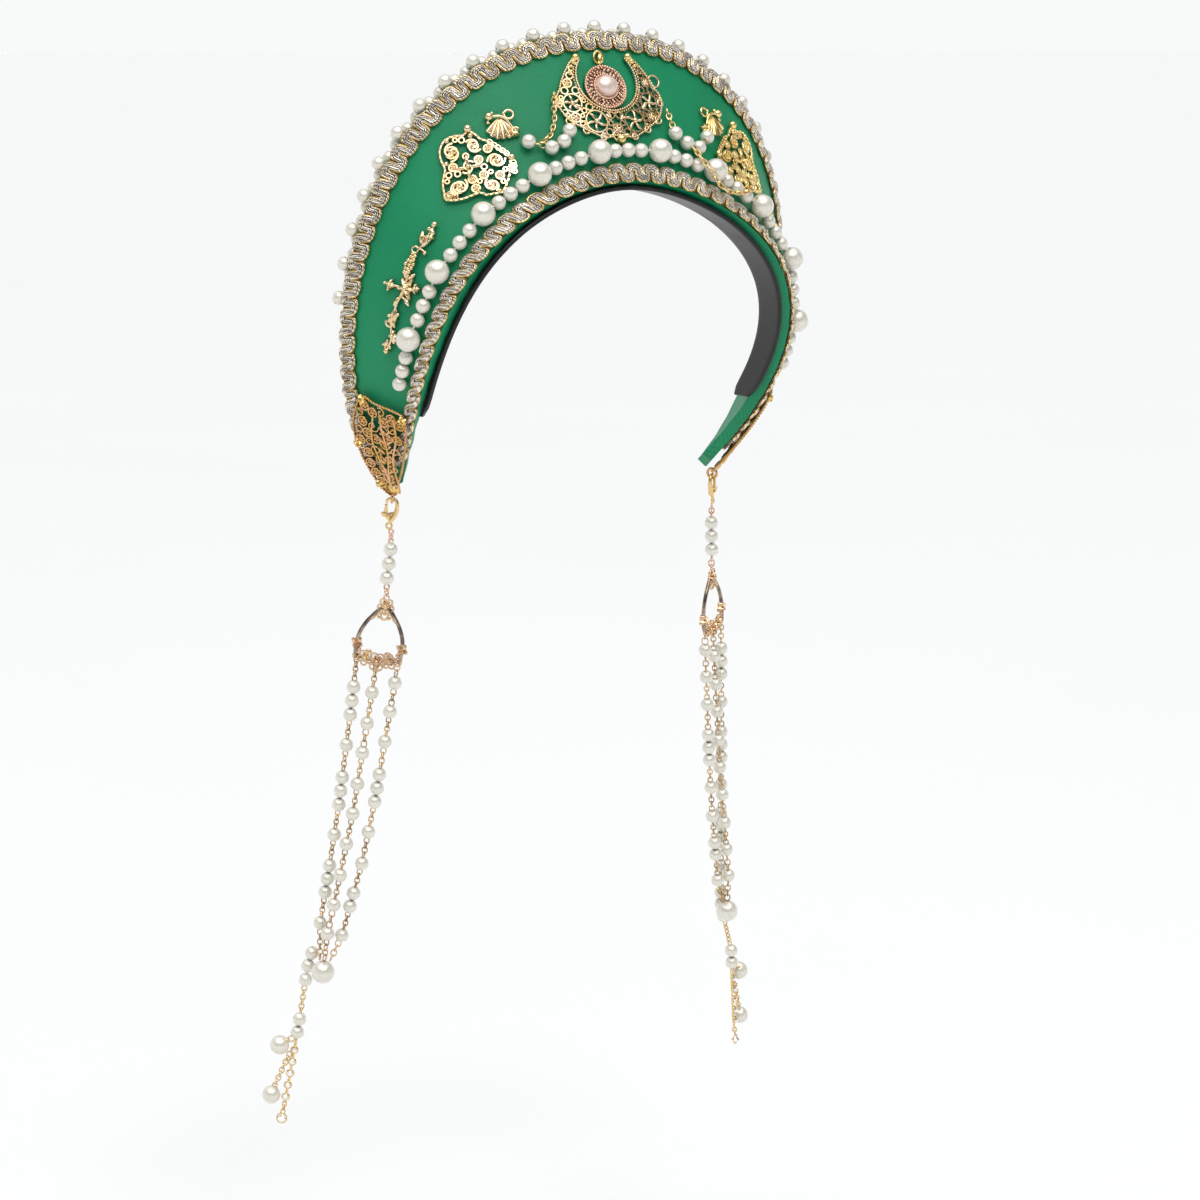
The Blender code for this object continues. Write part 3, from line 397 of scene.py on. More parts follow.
def outer_edge(share):
    t = np.asarray(share, float) * OUTER_SWEEP
    z = -111.1 * (1 - np.cos(t)) - 0.86 * (1 - np.cos(2 * t))
    x = 108.9 * np.sin(t) + 2.82 * np.sin(3 * t)
    y = 28.0 - 0.2417 * z - 0.0001735 * z * z
    return np.stack([x, y + FACE_Y, z + 61.5 + FACE_Z], axis=-1)


def face_width(share):
    return np.linalg.norm(outer_edge(share) - inner_edge(share), axis=-1)


def face_flat(share, line):
    a = inner_edge(share)
    ray = outer_edge(share) - a
    return a + ray * (np.asarray(line, float) / np.linalg.norm(ray, axis=-1))[..., None]


def face_run(share, line):
    """Way along the face from one share step before a point to one after it."""
    return face_flat(share + SHARE_STEP, line) - face_flat(share - SHARE_STEP, line)


def face_point(share, line, lift):
    """Point at a distance from the inner edge and a height off the satin, in mm."""
    share = np.asarray(share, float)
    n = unit(np.cross(face_run(share, line), outer_edge(share) - inner_edge(share)))
    n = np.where(n[..., 1:2] < 0, n, -n)
    return face_flat(share, line) + n * np.asarray(lift, float)[..., None]


class FaceSpot:
    """Flat drawing laid on the curved face: x runs to the wearer's left, y outwards."""

    def __init__(self, share, line, turn=0.0, shift=0.0):
        self.share = share
        self.line = line
        self.turn = math.radians(turn)
        self.shift = shift
        self.centre = face_flat(share, line)
        along = face_run(share, line)
        self.rate = np.linalg.norm(along) / (2 * SHARE_STEP)
        self.up = unit(outer_edge(share) - inner_edge(share))
        self.side = unit(along - self.up * (along @ self.up))

    def place(self, x, y, lift):
        want_x, want_y = turned(x, y, self.turn)
        want_x = want_x + self.shift
        share = self.share + want_x / self.rate
        line = self.line + want_y
        for _ in range(6):
            off = face_flat(share, line) - self.centre
            share = share + (want_x - off @ self.side) / self.rate
            line = line + want_y - off @ self.up
        return face_point(share, line, lift)


def on_face(points):
    """Share of the face and distance from its inner edge, for points near it in mm."""
    shares = np.repeat(np.linspace(-1, 1, 81), 9)
    lines = np.tile(np.linspace(0, 1, 9), 81) * face_width(shares)
    tree = KDTree(len(shares))
    for k, p in enumerate(face_flat(shares, lines)):
        tree.insert(p, k)
    tree.balance()
    nearest = np.array([tree.find(p)[1] for p in points])
    share, line = shares[nearest], lines[nearest]
    for _ in range(8):
        up = unit(outer_edge(share) - inner_edge(share))
        along = face_run(share, line) / (2 * SHARE_STEP)
        side = along - up * (along * up).sum(axis=-1)[:, None]
        off = points - face_flat(share, line)
        share = share + (off * side).sum(axis=-1) / (side * side).sum(axis=-1)
        line = line + (off * up).sum(axis=-1)
    return share, line


def cloth_map(ob):
    """UV map in mm, from the crescent unrolled flat with its rims opened out."""
    co = np.empty(len(ob.data.vertices) * 3)
    ob.data.vertices.foreach_get("co", co)
    points = co.reshape(-1, 3) / MM
    share, line = on_face(points)
    depth = np.linalg.norm(points - face_flat(share, line), axis=1)
    width = face_width(share)
    line = np.where(line < HALO_INNER_MARGIN + 0.8, line - depth, line)
    line = np.where(line > width - HALO_OUTER_MARGIN - 0.8, line + depth, line)
    a = share * CLOTH_SWEEP
    flat = np.stack([(CLOTH_RADIUS + line) * np.sin(a), (CLOTH_RADIUS + line) * np.cos(a)], axis=-1)
    owner = np.empty(len(ob.data.loops), np.int32)
    ob.data.loops.foreach_get("vertex_index", owner)
    layer = ob.data.uv_layers.new(name="cloth")
    layer.data.foreach_set("uv", flat[owner].astype(np.float32).ravel())


def distances(points):
    """Distance of each point from the first one, measured along the line through them."""
    steps = np.linalg.norm(np.diff(points, axis=0), axis=1)
    return np.concatenate([[0.0], np.cumsum(steps)])


class LinePath:
    """Distances along one line of the face, measured from its middle, in mm."""

    def __init__(self, line_of, end, lift=0.0):
        self.line_of = line_of
        self.shares = np.linspace(-end, end, 1601)
        reach = distances(face_point(self.shares, line_of(self.shares), lift))
        self.length = reach[-1]
        self.reach = reach - 0.5 * reach[-1]

    def point(self, along, across, lift):
        share = np.interp(along, self.reach, self.shares)
        return face_point(share, self.line_of(share) + across, lift)


# Plane of a drop, for the wearer's right, from the loop that it hangs on
DROP_TOP = np.array([-79.1, 61.2 + FACE_Y, -131.0 + FACE_Z])
DROP_D = unit(np.array([-0.125, 0.125, -0.9843]))
DROP_A = np.array([0.8311, -0.5286, -0.1727])
DROP_A = unit(DROP_A - DROP_D * (DROP_A @ DROP_D))
DROP_N = np.cross(DROP_A, DROP_D)
DROP_N = DROP_N if DROP_N[1] < 0 else -DROP_N


def drop_point(across, down, out):
    """Across, down and towards the viewer, in mm."""
    across, down, out = (np.asarray(v, float)[..., None] for v in (across, down, out))
    return DROP_TOP + DROP_D * down + DROP_A * across + DROP_N * out


# Shaping helpers
def only(*objects):
    bpy.ops.object.select_all(action="DESELECT")
    for ob in objects:
        ob.select_set(True)
    bpy.context.view_layer.objects.active = objects[0]


def joined(objects):
    if len(objects) > 1:
        only(*objects)
        bpy.ops.object.join()
    return objects[0]


def primitive(add, **settings):
    """New mesh from one of the operators that add one, in its final place."""
    add(**settings)
    ob = bpy.context.view_layer.objects.active
    only(ob)
    bpy.ops.object.transform_apply(location=True, rotation=True, scale=True)
    return ob


def bevelled(ob, width, steps):
    """Bevel of a width in mm along the sharp edges, as a modifier."""
    rims = ob.modifiers.new("rims", "BEVEL")
    rims.width = width * MM
    rims.segments = steps
    rims.limit_method = "ANGLE"
    rims.angle_limit = math.radians(50)


def thickened(ob, thick, offset=-1.0, even=False):
    """Wall of a thickness in mm, as a modifier."""
    wall = ob.modifiers.new("thickness", "SOLIDIFY")
    wall.thickness = thick * MM
    wall.offset = offset
    wall.use_even_offset = even


def applied(ob):
    only(ob)
    for mod in list(ob.modifiers):
        bpy.ops.object.modifier_apply(modifier=mod.name)
    return ob


def edit(ob, action):
    """Run one action on the whole mesh in edit mode."""
    only(ob)
    bpy.ops.object.mode_set(mode="EDIT")
    bpy.ops.mesh.select_all(action="SELECT")
    action()
    bpy.ops.object.mode_set(mode="OBJECT")


def merged(ob, reach=0.001):
    """Merge the points that lie within a reach in mm of each other."""
    edit(ob, lambda: bpy.ops.mesh.remove_doubles(threshold=reach * MM))
    return ob


def outward(ob):
    """Turn all faces outwards."""
    edit(ob, lambda: bpy.ops.mesh.normals_make_consistent(inside=False))
    return ob


def moved(ob, where):
    """Move each vertex to where(x, y, z), all in mm."""
    co = np.empty(len(ob.data.vertices) * 3)
    ob.data.vertices.foreach_get("co", co)
    co = co.reshape(-1, 3) / MM
    new = where(co[:, 0], co[:, 1], co[:, 2]) * MM
    ob.data.vertices.foreach_set("co", new.ravel())
    ob.data.update()
    return ob


def sheet(columns, rows, shape):
    """Grid whose points are given by shape(u, v) in mm, with u and v from -1 to 1."""
    ob = primitive(bpy.ops.mesh.primitive_grid_add, x_subdivisions=columns, y_subdivisions=rows, size=2.0)
    return moved(ob, lambda u, v, w: shape(u * MM, v * MM))


def keep_height(ob, base=None):
    """Keep how high each point of a flat drawing stands, for its finish: the gilt paints shade on the low
    points.
    """
    if ob.data.attributes.get("height"):
        return ob
    layer = ob.data.attributes.new("height", "FLOAT", "POINT")
    co = np.empty(len(ob.data.vertices) * 3)
    ob.data.vertices.foreach_get("co", co)
    z = co.reshape(-1, 3)[:, 2] / MM if base is None else np.full(len(co) // 3, base)
    layer.data.foreach_set("value", z.astype(np.float32))
    return ob


def laid(ob, spot):
    keep_height(ob)
    return moved(ob, spot.place)


def hung(ob):
    """Drawing in x across, y down and z towards the viewer, placed in the drop."""
    keep_height(ob, 2.0)
    return moved(ob, drop_point)


def linked(name, data):
    """New object in the scene."""
    ob = bpy.data.objects.new(name, data)
    bpy.context.scene.collection.objects.link(ob)
    return ob


def object_from(verts, faces):
    mesh = bpy.data.meshes.new("shape")
    mesh.from_pydata([tuple(v) for v in verts], [], faces)
    return linked("shape", mesh)


def meshed(curve):
    """Mesh object from a curve."""
    only(linked("wire", curve))
    bpy.ops.object.convert(target="MESH")
    return merged(bpy.context.view_layer.objects.active)


def smooth(ob, angle=None):
    only(ob)
    if angle is None:
        bpy.ops.object.shade_smooth()
    else:
        bpy.ops.object.shade_smooth_by_angle(angle=math.radians(angle))
    return ob


def repeated(master, frames):
    """One object made of a copy of a master shape at each matrix; the master is removed."""
    mesh = master.data
    co = np.empty(len(mesh.vertices) * 3)
    mesh.vertices.foreach_get("co", co)
    co = co.reshape(-1, 3)
    shapes = [tuple(p.vertices) for p in mesh.polygons]
    verts, faces = [], []
    for n, m in enumerate(frames):
        a = np.array(m)
        verts.append(co @ a[:3, :3].T + a[:3, 3])
        faces += [tuple(i + n * len(co) for i in s) for s in shapes]
    bpy.data.objects.remove(master, do_unlink=True)
    return smooth(object_from(np.concatenate(verts), faces))


def facing(place, along, radius=1.0, turn=0.0):
    """Matrix of a copy at a point in mm, its z along a direction, scaled."""
    z = Vector(along).normalized()
    turned = z.to_track_quat("Z", "Y").to_matrix().to_4x4()
    spin = Matrix.Rotation(turn, 4, "Z")
    return Matrix.Translation(Vector(place) * MM) @ turned @ spin @ Matrix.Scale(radius, 4)


def wires(paths, radius, sides=6, closed=False):
    """Round wires along lists of points in mm; a radius in mm may vary by point."""
    curve = bpy.data.curves.new("wire", "CURVE")
    curve.dimensions = "3D"
    curve.bevel_depth = MM
    curve.bevel_resolution = max(0, (sides - 4) // 2)
    curve.use_fill_caps = not closed
    for n, path in enumerate(paths):
        spline = curve.splines.new("POLY")
        spline.points.add(len(path) - 1)
        width = radius[n] if isinstance(radius, list) else radius
        width = np.broadcast_to(np.asarray(width, float), (len(path),))
        flat = np.ones((len(path), 4))
        flat[:, :3] = np.asarray(path, float) * MM
        spline.points.foreach_set("co", flat.ravel())
        spline.points.foreach_set("radius", width.copy())
        spline.use_cyclic_u = closed
    return smooth(outward(meshed(curve)), 60)


def rounded(points, steps=6, closed=False):
    """Smooth path through a few points, or rows of numbers such as point and radius."""
    p = np.asarray(points, float)
    row = np.vstack([p[-1:], p, p[:2]] if closed else [p[:1], p, p[-1:]])
    out = []
    for a, b, c, d in zip(row, row[1:], row[2:], row[3:]):
        for t in np.arange(steps) / steps:
            bend = (2 * a - 5 * b + 4 * c - d) * t * t + (3 * b - a - 3 * c + d) * t ** 3
            out.append(0.5 * (2 * b + (c - a) * t + bend))
    if not closed:
        out.append(p[-1])
    return np.array(out)


def circle(x, y, z, radius, steps=16, stretch=1.0, turn=0.0):
    a = np.arange(steps) * math.tau / steps
    u, v = turned(radius * stretch * np.cos(a), radius * np.sin(a), turn)
    return np.stack([x + u, y + v, np.full(steps, z)], axis=-1)


def pearl_master(segments, rings):
    """Pearl of radius 1 m with its drill holes at the poles."""
    ob = primitive(bpy.ops.mesh.primitive_uv_sphere_add, segments=segments, ring_count=rings, radius=1.0)
    pole = math.cos(math.pi / rings)
    bpy.ops.object.mode_set(mode="EDIT")
    for side in (1, -1):
        bpy.ops.mesh.select_all(action="DESELECT")
        bm = bmesh.from_edit_mesh(ob.data)
        for f in bm.faces:
            f.select_set(f.calc_center_median().z * side > pole + 0.2 * (1 - pole))
        bmesh.update_edit_mesh(ob.data)
        bpy.ops.transform.resize(value=(0.8, 0.8, 1.0))
        bpy.ops.mesh.extrude_region_move(TRANSFORM_OT_translate={"value": (0, 0, -0.16 * side)})
    bpy.ops.object.mode_set(mode="OBJECT")
    return ob


def pearls(rows, segments=20, rings=12):
    """Pearls given as (point in mm, direction of the thread, radius in mm)."""
    master = pearl_master(segments, rings)
    frames = [facing(p, along, r * MM, 0.7 * k) for k, (p, along, r) in enumerate(rows)]
    return repeated(master, frames)


def grains(rows, fine=2):
    """Solid beads given as (point in mm, radius in mm)."""
    master = primitive(bpy.ops.mesh.primitive_ico_sphere_add, subdivisions=fine, radius=1.0)
    frames = [Matrix.Translation(Vector(p) * MM) @ Matrix.Scale(r * MM, 4) for p, r in rows]
    return repeated(master, frames)


def row_of_grains(outline, z, pitch, radius, closed=True):
    """Beads at even steps along an outline."""
    p = np.asarray(outline, float)[:, :2]
    if closed:
        p = np.vstack([p, p[:1]])
    reach = distances(p)
    count = max(2, round(reach[-1] / pitch))
    at = np.arange(count) * reach[-1] / count if closed else np.linspace(0, reach[-1], count)
    x, y = np.interp(at, reach, p[:, 0]), np.interp(at, reach, p[:, 1])
    return [((a, b, z), radius) for a, b in zip(x, y)]


def finished(ob, name, finish, nodes="", body="hood"):
    """Name the piece, give it its finish, and say which nodes of the frame it replaces."""
    ob.name = name
    ob.data.name = name
    ob.data.materials.clear()
    ob.data.materials.append(finish_named(finish))
    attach(ob, body)
    if nodes:
        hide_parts(*nodes.split())
    return ob


def mirrored(ob):
    """Copy for the wearer's left."""
    twin = moved(linked("twin", ob.data.copy()), lambda x, y, z: np.stack([-x, y, z], axis=-1))
    edit(twin, bpy.ops.mesh.flip_normals)
    return twin


def both(ob, name, finish, nodes="", bodies=("hood", "hood"), left_finish=None):
    """The piece on the wearer's right, and its mirrored twin on the left."""
    pieces = {"right": (ob, bodies[0], finish), "left": (mirrored(ob), bodies[1], left_finish or finish)}
    for side, (piece, body, skin) in pieces.items():
        held = " ".join(f"{node}_{side}" for node in nodes.split())
        finished(piece, f"{name}_{side}", skin, held, body)


# Pierced work
PACKING_STEP = 0.24
FAR = 1e9


def sides_of(outline):
    """Each corner of an outline with the next one."""
    return zip(outline, outline[1:] + outline[:1])


def inside(points, outline):
    x, y = points[:, 0], points[:, 1]
    hit = np.zeros(len(points), bool)
    for (x0, y0), (x1, y1) in sides_of(outline):
        if y0 != y1:
            hit ^= ((y0 > y) != (y1 > y)) & (x < x0 + (y - y0) * (x1 - x0) / (y1 - y0))
    return hit


def room(points, outline):
    """Distance of each point from the nearest side of the outline."""
    best = np.full(len(points), FAR)
    for a, b in sides_of(outline):
        a, ab = np.array(a), np.array(b) - np.array(a)
        t = np.clip(((points - a) @ ab) / max(ab @ ab, 1 / FAR), 0, 1)
        best = np.minimum(best, np.linalg.norm(points - a - t[:, None] * ab, axis=1))
    return best


def packed(outline, taken, sizes, margin, half=False):
    """Circles that fill an outline, the largest first, each against its neighbours."""
    shape = np.array(outline)
    low, high = shape.min(axis=0), shape.max(axis=0)
    ranges = [np.arange(a, b, PACKING_STEP) for a, b in zip(low, high)]
    grid = np.stack(np.meshgrid(*ranges), -1).reshape(-1, 2)
    grid = grid[inside(grid, outline)]
    if half:
        grid = grid[grid[:, 0] >= 0.35]
    clear = room(grid, outline) - margin
    if half:
        clear = np.minimum(clear, grid[:, 0])
    for x, y, r in taken:
        clear = np.minimum(clear, np.linalg.norm(grid - (x, y), axis=1) - r)
    found = []
    for size in sizes:
        while (clear >= size).any():
            k = np.argmin(np.where(clear >= size, clear, FAR))
            x, y = grid[k]
            found.append((x, y, size))
            clear = np.minimum(clear, np.linalg.norm(grid - grid[k], axis=1) - size)
    return found


def lace(circles, z, wire, petals=6):
    """Rosettes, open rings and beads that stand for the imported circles."""
    loops, spokes, widths, beads = [], [], [], []
    for n, (x, y, r) in enumerate(circles):
        if r < 0.85:
            beads.append(((x, y, z), 0.8 * r))
            continue
        loops.append(circle(x, y, z + 0.12 * (r > 1.9), r - 0.4 * wire, 12 if r < 2 else 20))
        if r < 1.9:
            continue
        beads.append(((x, y, z + 0.3), 0.22 * r + 0.15))
        count = petals if r > 2.6 else 5
        for k in range(count):
            a = math.tau * k / count + 0.9 * n
            reach = np.array([0.2, 0.5, 0.75, 0.98]) * (r - wire)
            bend = a + np.array([0.0, 0.06, 0.16, 0.3])
            spoke = [x + reach * np.cos(bend), y + reach * np.sin(bend), np.full(4, z - 0.1)]
            spokes.append(np.stack(spoke, axis=-1))
            widths.append(np.array([0.8, 1.45, 1.3, 0.7]) * wire)
    parts = [wires(loops, wire, 6, True)]
    if spokes:
        parts.append(wires(spokes, widths, 6))
    if beads:
        parts.append(grains(beads))
    return joined(parts)


def scroll(x, y, z, size, angle, hand=1, turns=0.8):
    """Spiral curl that opens along an angle in degrees."""
    t = np.linspace(0, math.tau * turns, 14)
    r = size * (0.18 + 0.82 * (1 - t / t[-1]))
    a = math.radians(angle) + hand * t
    return np.stack([x + r * np.cos(a), y + r * np.sin(a), z + 0.03 * t], axis=-1)


def rim(outline, z, wire, pitch, grain):
    """Edge wire of a pierced piece with a row of grains on it."""
    edge = wires([[(x, y, z) for x, y in outline]], wire, 6, True)
    return joined([edge, grains(row_of_grains(outline, z + 0.55 * wire + 0.1, pitch, grain))])


def ringed(rings, peak=None, foot=None):
    """Skin over rings of points in mm, closed by flat faces or by fans round two points."""
    count = len(rings[0])
    last = (len(rings) - 1) * count
    verts = [tuple(p) for ring in rings for p in ring]
    around = [(k, (k + 1) % count) for k in range(count)]
    faces = [(i + k, i + n, i + count + n, i + count + k)
             for i in range(0, last, count) for k, n in around]
    if peak is None:
        faces += [tuple(range(count))[::-1], tuple(range(last, last + count))]
    else:
        for k, n in around:
            faces += [(last + k, last + n, len(verts)), (n, k, len(verts) + 1)]
        verts += [peak, foot]
    return object_from(np.array(verts) * MM, faces)


def dome(x, y, reach, petals, depth, height, z, turn=0.0, steps=48, cup=0.35):
    """Petalled blossom or leaf, domed in rings, with a closed back."""
    a = np.arange(steps) * math.tau / steps
    edge = reach * (1 - depth * (0.5 - 0.5 * np.cos(petals * a)))
    rings = []
    for f in (1.0, 0.8, 0.6, 0.4, 0.2):
        rise = 0.7 * height * (1 - f ** 2.2) + 2 * cup * height * np.cos(petals * a) * f * (1 - f)
        lip = 0.35 * height if f < 1 else 0.0
        flat = [x + edge * f * np.cos(a + turn), y + edge * f * np.sin(a + turn), z + lip + rise]
        rings.append(np.stack(flat, axis=-1))
    return smooth(ringed(rings, (x, y, z + height), (x, y, z)), 50)


def leaf(x, y, length, width, angle, z, height=0.9, fold=0.3):
    """Pointed leaf lying along an angle, ridged down its middle."""

    def shape(u, v):
        ridge = np.cos(0.5 * math.pi * u)
        px, py = turned(0.5 * length * (u + 1), 0.5 * width * v * ridge ** 0.75, math.radians(angle))
        pz = z + height * (1 - np.abs(v)) * ridge + 0.2 * fold * np.sin(3 * math.pi * u)
        return np.stack([x + px, y + py, pz], axis=-1)

    ob = sheet(10, 4, shape)
    thickened(ob, 0.45)
    return smooth(merged(applied(ob), 0.02))


def ovals(rows, wire, steps=12):
    """Closed wire links given as (middle, half of the length, half of the width) in mm."""
    t = np.arange(steps) * math.tau / steps
    loops = [c + along * np.cos(t)[:, None] + side * np.sin(t)[:, None] for c, along, side in rows]
    return wires(loops, wire, 6, True)


def eye_links(spans, radius=1.25, wire=0.3):
    """Pairs of interlocked wire eyes between two points, given as (a, b)."""
    rows = []
    for a, b in spans:
        a, b = np.asarray(a, float), np.asarray(b, float)
        length = np.linalg.norm(b - a)
        along = unit(b - a)
        u = unit(np.cross(along, (0.3, 0.9, 0.1)))
        v = np.cross(along, u)
        count = max(1, int(round((length - 0.6) / (1.55 * radius))))
        pitch = length / count
        r = min(0.5 * (pitch + 2.4 * wire), radius * 1.4)
        for k in range(count):
            middle = a + along * pitch * (k + 0.5)
            side = u if k % 2 else v
            rows.append((middle, along * (0.5 * pitch + 1.25 * wire), side * 0.8 * r))
    return ovals(rows, wire)


def pearl_strand(stops, link_ends, gap=0.4):
    """Rows for pearls and the eye links between those that stand apart."""
    points = [np.asarray(p, float) for p, r in stops]
    radii = [r for p, r in stops]
    rows, links = [], []
    for k, (p, r) in enumerate(zip(points, radii)):
        before = points[k - 1] if k else p - (points[k + 1] - p)
        after = points[k + 1] if k + 1 < len(points) else p + (p - before)
        rows.append((p, after - before, r))
    ends = [[(np.asarray(end, float), 0.0)] if end is not None else [] for end in link_ends]
    chain = ends[0] + list(zip(points, radii)) + ends[1]
    for (a, ra), (b, rb) in zip(chain, chain[1:]):
        along = unit(b - a)
        if np.linalg.norm(b - a) - ra - rb > gap + 1.0:
            links.append((a + along * max(0.0, ra - 0.25), b - along * max(0.0, rb - 0.25)))
    return rows, links


# Pieces
class HOOD_OT_halo(bpy.types.Operator):
    """Stiff padded crescent covered in green satin"""

    bl_idname = "hood.halo"
    bl_label = "Satin halo"

    def execute(self, context):
        def shape(u, v):
            g = 0.5 + 0.5 * v
            share = HALO_END * u
            low = HALO_INNER_MARGIN
            high = face_width(share) - HALO_OUTER_MARGIN
            edge = 4 * g * (1 - g)
            tuck = 0.10 * np.sin(150 * share + 3 * g) * (1 - edge) ** 2
            swell = 0.22 * edge ** 0.5 * (1 + 0.5 * np.sin(23 * share + 2.0) * np.cos(3.0 * g))
            return face_point(share, low + (high - low) * g, swell + tuck - 0.1)

        ob = sheet(200, 18, shape)
        thickened(ob, HALO_THICK - 0.1, even=True)
        bevelled(ob, 2.0, 4)
        smooth(outward(applied(ob)), 40)
        while ob.data.uv_layers:
            ob.data.uv_layers.remove(ob.data.uv_layers[0])
        cloth_map(ob)
        finished(ob, "satin_halo", "satin", "hood_halo")
        return {"FINISHED"}


class HOOD_OT_headband(bpy.types.Operator):
    """Springy glossy strip under the inner rim"""

    bl_idname = "hood.headband"
    bl_label = "Headband"

    def execute(self, context):
        def shape(u, v):
            share, g = BAND_END * u, 0.5 + 0.5 * v
            edge = inner_edge(share)
            along = inner_edge(share + SHARE_STEP) - inner_edge(share - SHARE_STEP)
            inward = unit(np.cross((0.0, 1.0, 0.0), along))
            rim_points = np.stack([
                face_point(share, HALO_INNER_MARGIN, -HALO_BEVEL),
                face_point(share, HALO_INNER_MARGIN, HALO_BEVEL - HALO_THICK),
                face_point(share, HALO_INNER_MARGIN + HALO_BEVEL, -HALO_THICK),
            ])
            drop = SEAT_GAP + ((rim_points - edge) * inward).sum(axis=-1).max(axis=0)
            tip = 1 - 0.35 * np.clip((np.abs(u) - 0.97) / 0.03, 0, 1) ** 2
            out = edge + inward * drop[:, None]
            out[:, 1] += 0.5 + BAND_WIDTH * (0.5 + (g - 0.5) * tip)
            return out

        ob = sheet(110, 6, shape)
        thickened(ob, BAND_THICK)
        bevelled(ob, 0.6, 3)
        smooth(outward(applied(ob)), 40)
        finished(ob, "black_headband", "band", "headband")
        return {"FINISHED"}


# Braid: half of a straight leg, and how far its threads and cords lie from the bundle's middle
GIMP_LEG = 0.5
GIMP_THREADS = (-1.14, -0.38, 0.38, 1.14)
GIMP_CORD = 1.56
GIMP_CORD_RADIUS = 0.38


def gimp_paths(path, pitch, offset):
    """Meander of one thread of the gimp, a distance to one side of the bundle's middle."""
    waves = int(round(path.length / pitch))
    half = path.length / waves / 2
    bend = 0.5 * half
    xs, ys, zs = [], [], []
    for k in range(2 * waves):
        side = 1 if k % 2 == 0 else -1
        r = bend + offset * side
        centre = half * (k + 0.5) - 0.5 * path.length
        for a in np.linspace(math.pi, 0.0, 9):
            c = math.cos(a)
            xs.append(centre + r * math.copysign(abs(c) ** 0.8, c))
            ys.append(side * (GIMP_LEG + r * abs(math.sin(a)) ** 0.65))
            zs.append(0.3 * side * math.cos(a))
    return np.array(xs), np.array(ys), np.array(zs)


class HOOD_OT_gimp(bpy.types.Operator):
    """Gimp braid of looped metallic threads between two gold cords, on both edges"""

    bl_idname = "hood.gimp"
    bl_label = "Gimp braid"

    def execute(self, context):
        sizes = context.scene.hood_sizes
        pitch = sizes.gimp_pitch / MM
        lines = {"outer": lambda s: face_width(s) - BRAID_LINE, "inner": lambda s: BRAID_LINE}
        for name, line_of in lines.items():
            path = LinePath(line_of, BRAID_END, 1.4)
            threads, cords = [], []
            for offset in GIMP_THREADS:
                x, y, z = gimp_paths(path, pitch, offset)
                threads.append(path.point(x, y, BRAID_SEAT + 1.0 + 0.5 * (1 - (offset / 1.3) ** 2) + z))
            for offset in (-GIMP_CORD, GIMP_CORD):
                x, y, z = gimp_paths(path, pitch, offset)
                cords.append(path.point(x, y, BRAID_SEAT + 0.75 + z))

            # Dark strip under the threads: painted shade in the gaps between the loops
            def strip(u, v):
                return path.point(0.5 * path.length * u, BRAID_SHADE_BACKING_HALF * v, BRAID_SEAT + 0.3)

            bundle = wires(threads, sizes.gimp_thread / MM)
            finished(bundle, name + "_gimp_threads", "thread", name + "_braid")
            finished(wires(cords, GIMP_CORD_RADIUS), name + "_gimp_cord", "gold_cord")
            ground = sheet(160, 4, strip)
            thickened(ground, 0.3)
            finished(smooth(applied(ground), 40), name + "_gimp_ground", "ground")
        return {"FINISHED"}


class HOOD_OT_edging(bpy.types.Operator):
    """Zigzag of pearls sewn along the outer rim"""

    bl_idname = "hood.edging"
    bl_label = "Pearl edging"

    def execute(self, context):
        sizes = context.scene.hood_sizes
        r = sizes.small_pearl / MM
        path = LinePath(face_width, EDGING_END, -2.5)
        count = 2 * int(round(path.length / (sizes.edging_pitch / MM) / 2))
        pitch = path.length / count
        stops = []
        for k in range(count + 1):
            at = -0.5 * path.length + k * pitch
            stops.append((at, 2.3, -1.0))
            if k < count:
                stops.append((at + 0.5 * pitch - 1.03 * r, 0.7, -5.0))
                stops.append((at + 0.5 * pitch + 1.03 * r, 0.7, -5.0))
        at, line, lift = (np.array(v) for v in zip(*stops))
        share = np.interp(at, path.reach, path.shares)
        points = face_point(share, face_width(share) + line, lift)
        rows = []
        for k, p in enumerate(points):
            after = points[min(k + 1, len(points) - 1)]
            before = points[max(k - 1, 0)]
            rows.append((p, after - before, r))
        ob = joined([pearls(rows), wires([points], 0.28)])
        finished(ob, "edging_pearls", "ivory", "outer_pearl_edging")
        return {"FINISHED"}


class HOOD_OT_string(bpy.types.Operator):
    """String of large and small pearls above the inner braid"""

    bl_idname = "hood.string"
    bl_label = "Pearl string"

    def execute(self, context):
        sizes = context.scene.hood_sizes
        small, large = sizes.small_pearl / MM, sizes.large_pearl / MM
        radii = [small, small]
        for _ in range(5):
            radii += [large, small, small, small]
        at = [0.0]
        for a, b in zip(radii, radii[1:]):
            at.append(at[-1] + a + b + STRING_PEARL_GAP)
        path = LinePath(lambda s: STRING_LINE, 0.95)
        places = [(-d, r) for d, r in zip(at, radii)][::-1][:-1] + list(zip(at, radii))
        d, r = (np.array(v) for v in zip(*places))
        points = path.point(d, 0.0, r + SEAT_GAP)
        tangent = np.gradient(points, axis=0)
        big = [(p, t, q) for p, t, q in zip(points, tangent, r) if q > 4]
        little = [(p, t, q) for p, t, q in zip(points, tangent, r) if q <= 4]
        ob = joined([pearls(big, 32, 20), pearls(little, 22, 14), wires([points], 0.5, 8)])
        finished(ob, "string_pearls", "ivory", "inner_pearl_string")
        return {"FINISHED"}


